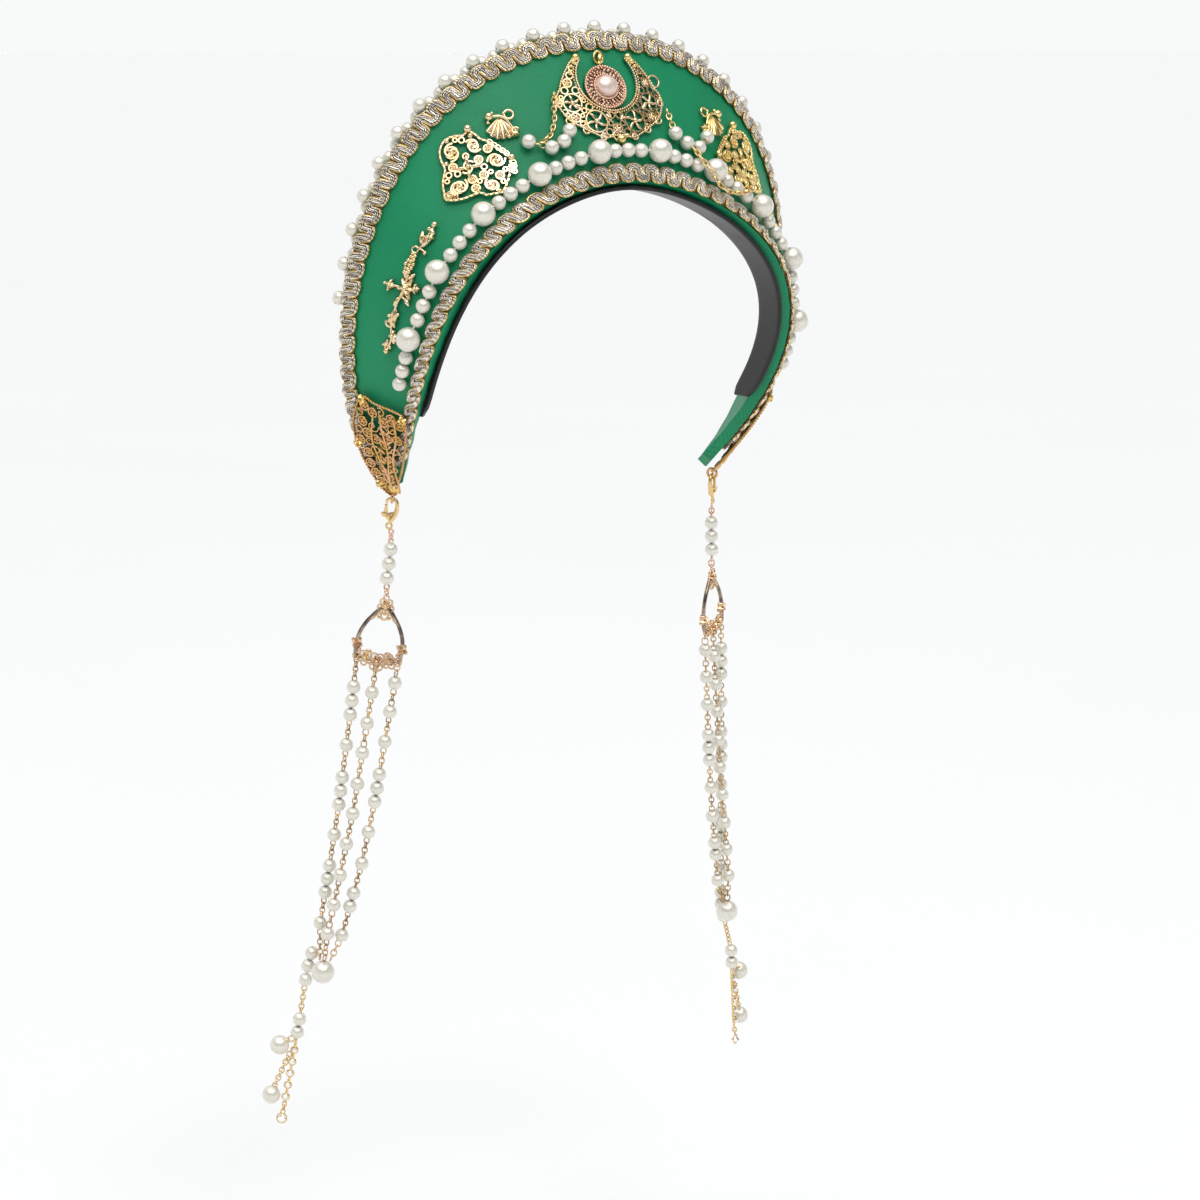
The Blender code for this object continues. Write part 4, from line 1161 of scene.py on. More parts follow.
NOTCH_RADIUS = 14.0
NOTCH_RISE = 3.6
NOTCH_OPEN = math.radians(40)
CRESCENT_HALF = (
    # x, y from the crescent's centre, tip first
    (13.0, 13.6), (15.9, 10.7), (18.6, 7.0), (20.9, 3.2), (22.4, -0.4), (24.0, -2.6),
    (24.6, -4.8), (24.4, -7.2), (23.4, -9.6), (22.4, -11.8), (20.6, -14.0), (18.6, -15.6),
    (16.0, -17.2), (13.6, -19.0), (10.8, -20.4), (8.6, -21.7), (6.2, -22.4), (4.2, -22.0), (2.6, -21.4),
)
CRESCENT_WHEELS = (
    # x, y, radius
    (9.0, -14.9, 5.0), (18.0, -6.4, 4.2), (18.4, 2.4, 2.0), (0.0, -18.4, 2.3),
)
CRESCENT_CURLS = (
    # x, y, size, angle
    (14.4, -16.0, 1.7, 20), (22.0, -10.6, 1.5, 60), (3.6, -13.0, 1.6, 100), (16.6, 6.6, 1.2, 80),
)
CRESCENT_LEAVES = (
    # x, y, angle
    (2.0, -15.4, 62), (-2.0, -15.4, 118), (13.6, -9.6, 40), (-13.6, -9.6, 140),
)
CRESCENT_RINGS = (
    # x, y, radius
    (20.9, -14.2, 1.5), (23.9, -6.6, 1.3), (14.4, -18.6, 1.4), (7.4, -21.9, 1.3),
)
CRESCENT_BEADS = (
    # x, y, height, radius
    (12.3, 13.4, 1.8, 1.6), (13.7, 11.4, 1.8, 1.15), (15.0, 9.6, 1.6, 0.8), (24.2, -4.6, 1.6, 0.8),
    (19.4, -15.6, 1.6, 0.8),
)


class HOOD_OT_crescent(bpy.types.Operator):
    """Pierced crescent with rosettes, granulated edges and beaded tips"""

    bl_idname = "hood.crescent"
    bl_label = "Centre crescent"

    def execute(self, context):
        sizes = context.scene.hood_sizes
        wire, grain = sizes.wire / MM, sizes.grain / MM
        spot = FaceSpot(0.0, CRESCENT_LINE, shift=-1.3)
        outline = list(CRESCENT_HALF) + [(-x, y) for x, y in CRESCENT_HALF[::-1]]
        sweep = np.linspace(math.pi - NOTCH_OPEN, math.tau + NOTCH_OPEN, 29)
        outline += [(NOTCH_RADIUS * math.cos(a), NOTCH_RISE + NOTCH_RADIUS * math.sin(a)) for a in sweep]
        wheels = list(CRESCENT_WHEELS)
        circles = wheels + packed(outline, wheels, (2.2, 1.7, 1.3, 1.0), 0.35, half=True)
        circles += [(-x, y, r) for x, y, r in circles if x > 0.2]
        inner = [(15.1 * math.cos(a), NOTCH_RISE + 15.1 * math.sin(a)) for a in sweep[2:-2]]
        curls = [scroll(x, y, PLATE_LIFT + 0.95, size, angle) * (s, 1, 1)
                 for s in (1, -1) for x, y, size, angle in CRESCENT_CURLS]
        loops = [circle(0.0, -21.6, 1.4, 2.6, 20), circle(23.2, 3.2, 1.4, 2.6, 20)]
        loops += [circle(s * x, y, 1.5, r, 14) for s in (1, -1) for x, y, r in CRESCENT_RINGS]
        parts = [
            lace(circles, PLATE_LIFT + 0.5, wire, 5),
            rim(outline, PLATE_LIFT + 0.7, 0.5, 1.2, grain * 0.95),
            grains(row_of_grains(inner, PLATE_LIFT + 1.1, 1.15, 0.42, False)),
            wires(curls, 0.36),
        ]
        parts += [leaf(x, y, 4.4, 2.0, angle, PLATE_LIFT + 0.7) for x, y, angle in CRESCENT_LEAVES]
        parts.append(wires(loops, 0.45, 8, True))
        finished(laid(joined(parts), spot), "crescent_filigree", "gilt", "centre_crescent")
        beads = [((x * s, y, z), r) for s in (1, -1) for x, y, z, r in CRESCENT_BEADS]
        beads += [((0.0, -23.4, 2.3), 1.9), ((-3.4, -21.6, 1.8), 1.0), ((3.4, -21.6, 1.8), 1.0)]
        finished(laid(grains(beads, 3), spot), "crescent_beads", "yellow_gilt")
        return {"FINISHED"}


MEDALLION_PROFILE = (
    # radius, height
    (9.0, 0.35), (9.5, 0.8), (9.5, 1.8), (9.0, 2.1), (7.9, 1.7), (7.2, 1.6), (5.8, 1.7), (5.5, 2.4),
    (5.1, 2.6), (4.7, 2.2),
)
PINK_PEARL_RADIUS = 4.6
PINK_PEARL_MIDDLE = 3.3
PINK_PEARL_CUT = 2.1


class HOOD_OT_medallion(bpy.types.Operator):
    """Rose gilt medallion with grains round a pink pearl, and its bail"""

    bl_idname = "hood.medallion"
    bl_label = "Medallion"

    def execute(self, context):
        spot = FaceSpot(0.0, CRESCENT_LINE, shift=-2.8)
        sides = 64
        plate = smooth(ringed([circle(0.0, 0.0, z, r, sides) for r, z in MEDALLION_PROFILE]), 45)
        beads = []
        for radius, count, size, z in ((9.1, 50, 0.58, 2.1), (5.3, 30, 0.5, 2.5)):
            beads += [(p, size) for p in circle(0.0, 0.0, z, radius, count)]
        for j, (radius, count) in enumerate(((8.15, 32), (7.2, 28), (6.3, 25))):
            for k in range(count):
                a = math.tau * (k + 0.5 * j) / count
                wob = 0.14 * math.sin(5.0 * k + 2.0 * j)
                place = ((radius + wob) * math.cos(a), (radius + wob) * math.sin(a), 1.95 + wob)
                beads.append((place, 0.5 + 0.15 * math.sin(2.3 * k + j)))
        setting = laid(joined([plate, grains(beads)]), spot)
        finished(setting, "medallion_work", "rose_gilt", "medallion_setting")
        pink = primitive(
            bpy.ops.mesh.primitive_uv_sphere_add, segments=40, ring_count=24,
            radius=PINK_PEARL_RADIUS * MM, location=(0, 0, PINK_PEARL_MIDDLE * MM))
        cut = PINK_PEARL_CUT
        edit(pink, lambda: bpy.ops.mesh.bisect(
            plane_co=(0, 0, cut * MM), plane_no=(0, 0, 1), clear_inner=True, use_fill=True))
        moved(pink, lambda x, y, z: np.stack([x, y, cut + (z - cut) * 0.73], axis=-1))
        smooth(laid(pink, spot), 60)
        finished(pink, "medallion_pink_pearl", "pink", "medallion_pearl")
        hook = [(-0.9, 10.6, 1.0), (-2.2, 12.8, 1.4), (-1.6, 15.0, 1.8), (0.3, 15.9, 1.9),
                (1.9, 13.8, 1.6), (1.2, 10.8, 1.1)]
        parts = [
            leaf(0.6, 10.0, 6.2, 3.2, 86, 1.1, 1.4),
            wires([rounded(hook, 5)], 0.48, 8),
            grains([((-0.6, 10.5, 1.9), 0.8)], 3),
        ]
        bail = laid(joined(parts), spot)
        finished(bail, "medallion_leaf_bail", "yellow_gilt", "medallion_bail")
        return {"FINISHED"}


SIDE_OUTLINE = (
    # x along the face from the panel's centre, y outwards
    (8.6, 10.4), (9.0, 7.4), (8.6, 4.6), (9.6, 1.2), (9.2, -2.7), (9.8, -6.2), (9.0, -9.8),
    (5.9, -11.5), (3.0, -13.6), (-2.0, -15.4), (-5.3, -15.6), (-7.6, -13.3), (-9.7, -11.2),
    (-10.3, -8.4), (-15.8, -4.7), (-19.8, 0.6), (-18.0, 3.2), (-14.4, 6.5), (-9.8, 8.6),
    (-7.9, 11.6), (-4.9, 14.8), (-0.1, 15.9), (3.8, 13.6), (5.8, 11.0),
)
SIDE_WHEELS = (
    # x, y, radius
    (-12.8, -0.4, 4.3), (-4.9, -10.6, 3.6), (4.9, -5.8, 4.1), (-2.6, 10.6, 4.3), (4.6, 5.2, 3.7),
    (-4.0, 1.6, 3.4),
)
SIDE_KNOBS = (
    # x, y, height, radius
    (9.1, 11.1, 2.2, 1.7), (7.4, 8.6, 1.9, 1.1), (9.5, -10.1, 2.1, 1.5), (-7.6, 9.6, 1.9, 1.0),
    (-18.6, 0.8, 1.8, 1.1), (-9.6, -7.4, 1.8, 0.9), (-5.2, -14.6, 1.8, 1.0), (0.2, 15.0, 1.8, 1.0),
)


class HOOD_OT_side_filigree(bpy.types.Operator):
    """Pierced lobed panels on the two sides of the face"""

    bl_idname = "hood.side_filigree"
    bl_label = "Side filigree"

    def execute(self, context):
        sizes = context.scene.hood_sizes
        wire, grain = sizes.wire / MM, sizes.grain / MM
        outline = [tuple(p) for p in rounded(SIDE_OUTLINE, 2, closed=True)]
        wheels = list(SIDE_WHEELS)
        circles = [(x, y, 0.62 * r) for x, y, r in wheels[:-1]]
        circles += packed(outline, wheels, (1.9, 1.4, 1.1), 0.4)
        curls = [scroll(x, y, PLATE_LIFT + 0.95, r - 0.4, 70 * k + 180 * n, 1 if k % 2 else -1, 0.62)
                 for k, (x, y, r) in enumerate(wheels) for n in range(2)]
        links = []
        for k in range(4):
            place = (7.9 - 0.9 * k, -12.0 - 0.75 * k, 2.2 - 0.1 * k)
            links.append(circle(*place, 0.95, 12, 1.3, 0.7 + 1.2 * (k % 2)))
        for k in range(5):
            links.append(circle(9.7, 0.6 - 2.0 * k, 2.0, 0.95, 12, 1.3, 1.3 + 0.5 * (k % 2)))
        x, y, r = wheels[-1]
        star = [leaf(x, y, r + 2.2, 2.3, turn, PLATE_LIFT + 1.0, 1.1) for turn in (45, 135, 225, 315)]
        fan = [leaf(-14.2, 0.6, 5.6, 1.5, 152 + 20 * k, PLATE_LIFT + 0.8, 0.9) for k in range(5)]
        parts = [
            lace(circles, PLATE_LIFT + 0.6, wire * 1.15, 5),
            rim(outline, PLATE_LIFT + 0.7, 0.7, 2.1, grain * 1.2),
            wires(curls, 0.68),
            *star,
            grains([((x, y, PLATE_LIFT + 2.0), 0.9)], 3),
            *fan,
            wires(links, 0.4, 6, True),
            grains([((x, y, z), r) for x, y, z, r in SIDE_KNOBS], 3),
        ]
        ob = laid(joined(parts), FaceSpot(-0.335, 34.0))
        both(ob, "side_lace", "gilt", "side_filigree", left_finish="yellow_gilt")
        return {"FINISHED"}


SHELL_TWIG = (
    # x, y, height
    (-4.6, 3.2, 1.7), (-2.0, 3.6, 2.1), (0.2, 3.6, 2.3), (2.4, 2.6, 2.2), (4.2, 0.2, 1.9),
    (5.2, -1.4, 1.8),
)
SHELL_BEADS = (
    # x, y, height, radius
    (-4.2, 3.5, 2.1, 1.75), (-2.9, 5.0, 1.8, 0.8), (1.8, 5.0, 1.8, 0.7), (-4.6, 1.0, 1.7, 0.8),
    (5.9, -3.0, 3.1, 0.8), (3.6, -5.0, 1.7, 0.9),
)


class HOOD_OT_shell(bpy.types.Operator):
    """Fan shells with a bead and a loop, beside the panels"""

    bl_idname = "hood.shell"
    bl_label = "Shells"

    def execute(self, context):
        def shape(u, v):
            f, g = 0.5 + 0.5 * u, 0.5 + 0.5 * v
            a = math.radians(96) * (f - 0.5)
            rib = np.abs(np.sin(math.pi * 6 * f))
            reach = 0.8 + (6.3 + 1.9 * np.sin(math.pi * f) + 0.8 * rib) * g
            high = 1.2 + 1.0 * np.sin(math.pi * (0.15 + 0.7 * g)) + 0.8 * rib * g
            return np.stack([reach * np.sin(a), 3.4 - reach * np.cos(a), high], axis=-1)

        fan = sheet(60, 12, shape)
        thickened(fan, 0.5, offset=1.0)
        spread = np.radians(np.linspace(-38, 38, 24))
        edge = [(7.3 * math.sin(a), 3.4 - 8.0 * math.cos(a), 1.6) for a in spread]
        parts = [
            smooth(outward(applied(fan)), 60),
            wires([edge], 0.4),
            wires([circle(3.9, 4.5, 1.7, 1.9, 20)], 0.55, 8, True),
            wires([rounded(SHELL_TWIG, 5)], 0.6, 8),
            dome(5.9, -3.0, 2.7, 5, 0.25, 2.3, PLATE_LIFT, 0.5, 40, 0.5),
            wires([scroll(5.9, -3.0, 3.0, 1.7, 40, 1, 1.2)], 0.34),
            grains([((x, y, z), r) for x, y, z, r in SHELL_BEADS], 3),
        ]
        ob = laid(joined(parts), FaceSpot(-0.2485, 41.2, turn=-42))
        both(ob, "shell_fan", "gilt", "shell_ornament", left_finish="yellow_gilt")
        return {"FINISHED"}


SPRAY_STEM = (
    # x along the face from the spray's centre, y outwards, height
    (26.4, -0.6, 1.6), (20.0, -0.8, 1.5), (15.9, 0.7, 1.5), (9.9, 1.2, 1.5), (4.0, 0.4, 1.5),
    (-3.0, 0.0, 1.5), (-9.0, 0.8, 1.5), (-17.4, 0.0, 1.5), (-22.0, -1.4, 1.5), (-27.0, -0.5, 1.6),
)
SPRAY_TWIGS = (
    # points as in the stem
    ((15.9, 0.7, 1.5), (16.2, 2.4, 1.7), (15.0, 3.6, 1.6), (14.0, 2.9, 1.6)),
    ((15.9, 0.7, 1.5), (15.9, -1.2, 1.6), (15.2, -2.6, 1.7)),
    ((-0.9, 0.0, 1.5), (-1.2, 3.6, 1.7), (-1.9, 6.6, 1.7)),
    ((-17.4, 0.0, 1.5), (-17.6, 2.0, 1.7), (-16.4, 3.4, 1.6), (-15.6, 2.6, 1.6)),
    ((-0.8, -0.8, 1.5), (0.2, -3.4, 1.7), (0.6, -5.4, 1.7)),
    ((-4.0, 0.2, 1.5), (-4.6, -2.2, 1.8), (-4.3, -4.2, 1.8)),
)
SPRAY_BLOSSOMS = (
    # x, y, reach, petals, depth of the notches between them, turn in degrees
    (-0.8, -0.8, 5.2, 6, 0.5, 45), (-1.9, 6.8, 2.6, 4, 0.35, 0), (0.8, -5.2, 2.4, 4, 0.35, 20),
    (21.4, -0.9, 2.6, 4, 0.35, 10), (-20.6, -1.8, 2.6, 4, 0.35, 10),
)
SPRAY_LEAVES = (
    # x, y, length, width, angle
    (16.4, 0.2, 7.6, 3.4, -16), (17.6, 0.8, 5.8, 2.8, 20), (20.4, -1.0, 6.2, 2.4, 4),
    (23.4, -2.8, 4.2, 2.4, 70), (-9.2, 0.8, 9.0, 4.4, 184), (-13.0, 0.6, 5.0, 2.2, 206),
    (-12.4, 0.8, 4.6, 2.0, 160), (-18.0, -0.4, 6.4, 3.2, 206), (-19.4, -1.6, 5.6, 2.8, 232),
    (-22.4, 0.2, 4.6, 2.4, 172), (-24.0, 0.2, 3.4, 1.9, 130), (-4.6, 0.8, 5.0, 2.6, 166),
    (-4.2, -1.6, 4.4, 2.6, 236), (2.8, 0.8, 4.8, 2.6, 28), (2.8, 0.0, 4.4, 2.4, -36),
)
SPRAY_BERRIES = (
    # x, y, height, radius
    (26.8, -0.6, 1.9, 1.25), (-27.2, -0.5, 1.9, 1.2), (15.2, -2.7, 1.8, 0.9), (24.6, 0.6, 1.8, 0.8),
    (-25.2, -1.8, 1.8, 0.8), (-2.0, 9.2, 1.8, 0.7), (-3.8, 6.8, 1.8, 0.7), (-13.4, 2.4, 1.8, 0.8),
    (-11.6, -1.6, 1.8, 0.8),
)


class HOOD_OT_spray(bpy.types.Operator):
    """Stems with blossoms, leaves and berries on the sides"""

    bl_idname = "hood.spray"
    bl_label = "Flower sprays"

    def execute(self, context):
        parts = [wires([rounded(SPRAY_STEM, 5)], 0.55, 8)]
        parts.append(wires([rounded(twig, 4) for twig in SPRAY_TWIGS], 0.42, 8))
        for x, y, reach, petals, depth, turn in SPRAY_BLOSSOMS:
            parts.append(dome(x, y, reach, petals, depth, 1.7, PLATE_LIFT, math.radians(turn), 48, 0.5))
            parts.append(grains([((x, y, PLATE_LIFT + 1.6), 0.3 * reach ** 0.6 + 0.3)], 3))
        for x, y, length, width, angle in SPRAY_LEAVES:
            parts.append(leaf(x, y, length, width, angle, PLATE_LIFT + 0.6, 1.2))
        berries = [((x, y, z), r) for x, y, z, r in SPRAY_BERRIES]
        for k in range(12):
            x = 4.4 + 0.82 * k
            swing = (1.7 if k % 2 else -1.5) * (1 - 0.1 * abs(k - 5))
            berries.append(((x, 1.2 + swing, 1.9 + 0.3 * (k % 3)), 0.85))
            if k % 2:
                berries.append(((x, 1.1, 2.5), 0.8))
        parts.append(grains(berries, 3))
        ob = laid(joined(parts), FaceSpot(-0.605, 27.5, turn=-20.7))
        both(ob, "blossom_spray", "gilt", "flower_spray", left_finish="yellow_gilt")
        return {"FINISHED"}


END_OUTLINE = (
    # share of the face, share of its width
    (0.784, 0.74), (0.802, 0.58), (0.824, 0.34), (0.844, 0.16), (0.880, 0.08), (0.926, 0.07),
    (0.952, 0.18), (0.971, 0.30), (0.965, 0.64), (0.944, 0.80), (0.906, 0.88), (0.856, 0.91),
    (0.818, 0.88),
)
END_WHEELS = (
    # share of the way from the tip, distance to one side, radius
    (0.30, 2.6, 1.9), (0.34, -2.6, 1.9), (0.52, 4.2, 2.8), (0.55, -4.4, 2.8), (0.78, 4.8, 2.9),
    (0.80, -4.6, 2.6), (0.95, 0.6, 2.2),
)


class HOOD_OT_end_filigree(bpy.types.Operator):
    """Deep gilt pierced pieces over the tips, with the loops that the drops hang on"""

    bl_idname = "hood.end_filigree"
    bl_label = "End filigree"

    def execute(self, context):
        sizes = context.scene.hood_sizes
        wire, grain = sizes.wire / MM, sizes.grain / MM
        spot = FaceSpot(-0.87, 0.5 * float(face_width(0.87)))
        drawn = []
        for share, part in END_OUTLINE:
            off = face_flat(-share, part * float(face_width(share))) - spot.centre
            drawn.append((off @ spot.side, off @ spot.up))
        outline = [tuple(p) for p in rounded(drawn, 4, closed=True)]
        lift = SEAT_GAP + BRAID_THICK + 0.6
        tip, head = np.array(drawn[7]), 0.5 * (np.array(drawn[0]) + np.array(drawn[3]))
        along = head - tip
        aside = unit(np.array([-along[1], along[0]]))
        angle = math.degrees(math.atan2(along[1], along[0]))

        def spine(f, side):
            """Point at a share of the way from the tip, and a distance to one side."""
            return tip + along * f + aside * side

        wheels = [(*spine(f, side), r) for f, side, r in END_WHEELS]
        curls = [scroll(x, y, lift + 1.0, r, 60 * k, 1 if k % 2 else -1, 1.15)
                 for k, (x, y, r) in enumerate(wheels)]
        vines = []
        for side in (-0.6, 0.0, 0.6):
            rows = []
            for f in np.linspace(0.03, 0.93, 9):
                across = side * (1.2 + 7.4 * min(1.0, 1.5 * f)) + 0.9 * math.sin(9.0 * f + 4.0 * side)
                rows.append((*spine(f, across), lift + 1.15))
            vines.append(rounded(rows, 4))
        parts = [
            lace(packed(outline, wheels, (2.2, 1.7), 0.4), lift + 0.5, wire, 5),
            rim(outline, lift + 0.65, 0.5, 1.5, grain),
            wires(curls, 0.42),
            wires(vines, 0.5, 8),
        ]
        seeds = []
        for n, f in enumerate(np.linspace(0.02, 0.97, 9)[1:8]):
            p = spine(f, 1.1 * math.sin(6.0 * f))
            for side in (-1, 1):
                parts.append(leaf(*p, 4.4 if n else 3.0, 1.9, angle + side * 48, lift + 0.9, 1.0))
                seeds.append(((*(p + aside * 2.1 * side), lift + 1.4), 0.62))
        parts.append(grains(seeds))
        bosses = []
        for k, size in ((0, 1.7), (3, 1.3), (9, 1.9), (11, 1.5)):
            p = np.array(drawn[k]) * 0.94 + np.mean(drawn, axis=0) * 0.06
            bosses.append(dome(*p, size + 0.8, 5, 0.3, 1.9, lift + 0.5, 0.3 * k, 30))
        for spread in (-24, 0, 24):
            bosses.append(leaf(*tip, 5.6, 2.4, angle + spread, lift + 1.0, 1.2))
        both(laid(joined(bosses), spot), "tip_bosses", "yellow_tip")
        ob = laid(joined(parts), spot)
        a = np.arange(20) * math.tau / 20
        ring = 2.2 * (np.cos(a)[:, None] * DROP_D + np.sin(a)[:, None] * DROP_N)
        ring = ring + drop_point(-0.2, -0.5, 0.0)
        loop = keep_height(wires([ring], 0.6, 10, True), 9.0)
        both(joined([ob, loop]), "tip_filigree", "deep_gilt", "end_filigree")
        return {"FINISHED"}


SWAGS = {
    # share of the face, distance from the inner edge, radius
    "right": ((-0.2335, 32.4, 0.0), (-0.2330, 28.7, 3.0), (-0.2010, 22.1, 3.0), (-0.1655, 22.6, 3.0),
              (-0.1375, 26.1, 3.0)),
    "left": ((0.1235, 35.0, 0.0), (0.1503, 24.7, 3.0), (0.1870, 22.2, 3.0), (0.2235, 22.6, 3.0),
             (0.2375, 30.0, 3.0)),
}
SWAG_CHAINS = {
    # share of the face, distance from the inner edge, height off the satin
    "right": ((-0.1215, 43.4, 2.4), (-0.1385, 37.4, 2.4), (-0.1524, 32.6, 2.4), (-0.1743, 28.3, 2.4),
              (-0.1890, 26.8, 2.4), (-0.2110, 26.2, 2.6)),
    "left": ((0.1970, 20.0, 4.8), (0.2100, 16.2, 7.2), (0.2254, 13.6, 7.6), (0.2475, 9.8, 9.0),
             (0.2700, 6.6, 9.0), (0.2925, 3.8, 8.5), (0.3334, 2.6, 7.6), (0.3700, 6.6, 7.8),
             (0.3855, 13.4, 8.4), (0.3900, 21.2, 2.6)),
}
SWAG_LINKS = {
    # pitch, wire radius
    "right": (2.1, 0.34), "left": (2.9, 0.42),
}


def chain_links(path, pitch, wire, width):
    """Oval links along a smooth path in mm, each turned a quarter from the last."""
    path = np.asarray(path, float)
    reach = distances(path)
    count = max(2, int(round(reach[-1] / pitch)))
    at = (np.arange(count) + 0.5) * reach[-1] / count
    c = np.stack([np.interp(at, reach, path[:, k]) for k in range(3)], axis=-1)
    way = np.stack([np.interp(at + 0.3, reach, path[:, k]) for k in range(3)], axis=-1) - c
    way[-1] = c[-1] - c[-2]
    half = 0.5 * reach[-1] / count + 1.6 * wire
    rows = []
    for k, along in enumerate(unit(way)):
        u = unit(np.cross(along, (0.0, -1.0, 0.25)))
        v = np.cross(along, u)
        rows.append((c[k], along * half, (u + v if k % 2 else u - v) / math.sqrt(2) * width))
    return ovals(rows, wire, 10)


class HOOD_OT_swags(bpy.types.Operator):
    """Swags of pearls and fine chain beside the crescent, different on the two sides"""

    bl_idname = "hood.swags"
    bl_label = "Swags"

    def execute(self, context):
        for side, table in SWAGS.items():
            stops = [(face_point(s, d, r + SEAT_GAP if r else 2.6), r) for s, d, r in table]
            rows, links = pearl_strand(stops[1:], (stops[0][0], None))
            string = pearls(rows, 22, 14)
            finished(string, "swag_string_" + side, "ivory", "swag_pearls_" + side)
            eyes = keep_height(eye_links(links, 1.1, 0.32), 2.0)
            finished(eyes, "swag_eyes_" + side, "wire")
            s, d, lift = (np.array(v) for v in zip(*SWAG_CHAINS[side]))
            chain = chain_links(rounded(face_point(s, d, lift), 6), *SWAG_LINKS[side], 0.9)
            finished(chain, "swag_links_" + side, "wire", "swag_chain_" + side)
        return {"FINISHED"}


HOOK_PATH = (
    # across, down from the clasp's centre, wire radius
    (-2.0, -2.9, 0.55), (-1.9, -4.3, 0.6), (-0.7, -5.3, 0.65), (0.9, -5.2, 0.7), (2.1, -4.1, 0.8),
    (2.6, -2.2, 0.9), (2.5, 0.0, 1.0), (1.8, 2.4, 1.05), (0.8, 4.2, 0.9), (0.5, 5.4, 0.6),
)
LEVER_OUTLINE = (
    # across, down from the clasp's centre
    (0.25, 1.9), (0.2, 2.8), (-0.5, 3.25), (-1.4, 3.1), (-2.4, 2.9), (-3.4, 2.2), (-3.6, 1.2),
    (-2.8, 0.9), (-2.6, -0.4), (-2.5, -2.5), (-1.5, -2.5), (-0.9, 0.4), (-0.1, 1.4),
)
CHEEK_OUTLINE = (
    # across, down from the clasp's centre
    (1.9, 0.6), (1.9, 3.6), (0.2, 4.3), (-1.4, 3.5), (-1.4, 1.6), (0.2, 0.8),
)
CLASP_CENTRE = (-0.3, 5.45)
PIN = (CLASP_CENTRE[0] - 0.55, CLASP_CENTRE[1] + 2.35)


def clasp_points(table):
    """Rows of a table of the clasp, placed in the drop."""
    return [(row[0] + CLASP_CENTRE[0], row[1] + CLASP_CENTRE[1], *row[2:]) for row in table]


def slab(outline, z, thick, bevel=0.15, holes=()):
    """Flat plate with softened edges, from an outline in mm, with round holes where they are given."""
    curve = bpy.data.curves.new("slab", "CURVE")
    curve.dimensions = "2D"
    curve.fill_mode = "BOTH"
    curve.extrude = 0.5 * thick * MM
    for loop in (outline, *holes):
        spline = curve.splines.new("POLY")
        spline.points.add(len(loop) - 1)
        for p, q in zip(spline.points, loop):
            p.co = (q[0] * MM, q[1] * MM, 0, 1)
        spline.use_cyclic_u = True
    ob = merged(meshed(curve), 0.002)
    bevelled(ob, bevel, 2)
    moved(applied(ob), lambda x, y, w: np.stack([x, y, w + z + 0.5 * thick], axis=-1))
    return smooth(ob, 40)


class HOOD_OT_clasps(bpy.types.Operator):
    """Lobster clasps: hooked body and sprung lever"""

    bl_idname = "hood.clasps"
    bl_label = "Clasps"

    def execute(self, context):
        path = rounded([(x, y, 0.0, r) for x, y, r in clasp_points(HOOK_PATH)], 6)
        pin_head = [(*PIN, 0.85), (*PIN, 1.05), (*PIN, 1.2)]
        eye = (0.5 + CLASP_CENTRE[0], 6.4 + CLASP_CENTRE[1])
        body = outward(hung(joined([
            wires([path[:, :3]], [path[:, 3]], 12),
            slab(rounded(clasp_points(CHEEK_OUTLINE), 4, closed=True), -1.35, 0.6),
            wires([[(*PIN, -1.2), (*PIN, 0.95)]], 0.4, 12),
            wires([pin_head], [np.array([0.75, 0.75, 0.45])], 16),
            wires([circle(*eye, 0.0, 1.2, 20)], 0.45, 10, True),
        ])))
        both(body, "clasp_hook", "wire", "clasp_body")
        outline = rounded(clasp_points(LEVER_OUTLINE), 3, closed=True)
        lever = outward(hung(slab(outline, -0.45, 1.0, 0.12, [circle(*PIN, 0.0, 0.55, 16)])))
        bodies = ("clasp_lever_right", "clasp_lever_left")
        both(lever, "clasp_spring_lever", "wire", "clasp_lever", bodies)
        return {"FINISHED"}


class HOOD_OT_drop_chain(bpy.types.Operator):
    """Chain below each clasp, with three pearls"""

    bl_idname = "hood.drop_chain"
    bl_label = "Drop chains"

    def execute(self, context):
        stops = [((2.5, 21.6, 0.0), 3.0), ((2.7, 27.8, 0.0), 3.0), ((2.9, 34.0, 0.0), 3.0)]
        rows, links = pearl_strand(stops, ((1.4, 13.4, 0.0), (4.2, 43.4, 0.0)))
        both(hung(pearls(rows, 22, 14)), "drop_chain_pearls", "ivory", "drop_chain")
        both(hung(eye_links(links, 1.2, 0.36)), "drop_chain_eyes", "rose_wire")
        return {"FINISHED"}


HANGER_MID = 4.4
ARCH = (
    # across from the middle, down, wire radius
    (0.0, 46.6, 0.7), (5.6, 51.8, 0.65), (9.0, 58.6, 0.65), (9.6, 65.2, 0.7), (7.6, 69.2, 0.6),
)
HANGER_BLOSSOMS = (
    # across from the middle, down, reach, petals, height, turn
    (0.0, 46.0, 3.6, 5, 2.0, 0.3), (0.0, 70.2, 4.0, 6, 2.2, 0.0), (-5.2, 69.3, 3.3, 5, 1.9, 0.4),
    (5.2, 69.3, 3.3, 5, 1.9, 0.9),
)
HANGER_CURLS = (
    # points: across from the middle, down, out
    ((2.6, 67.2, 0.4), (3.6, 65.7, 0.6), (5.0, 66.1, 0.5), (4.8, 67.4, 0.4)),
    ((1.2, 48.6, 0.5), (2.9, 49.6, 0.5), (2.2, 51.2, 0.4), (1.0, 50.4, 0.4)),
)
HANGER_RINGS = (
    # across from the middle, down
    (-8.7, 69.0), (8.7, 69.0), (0.0, 50.3),
)


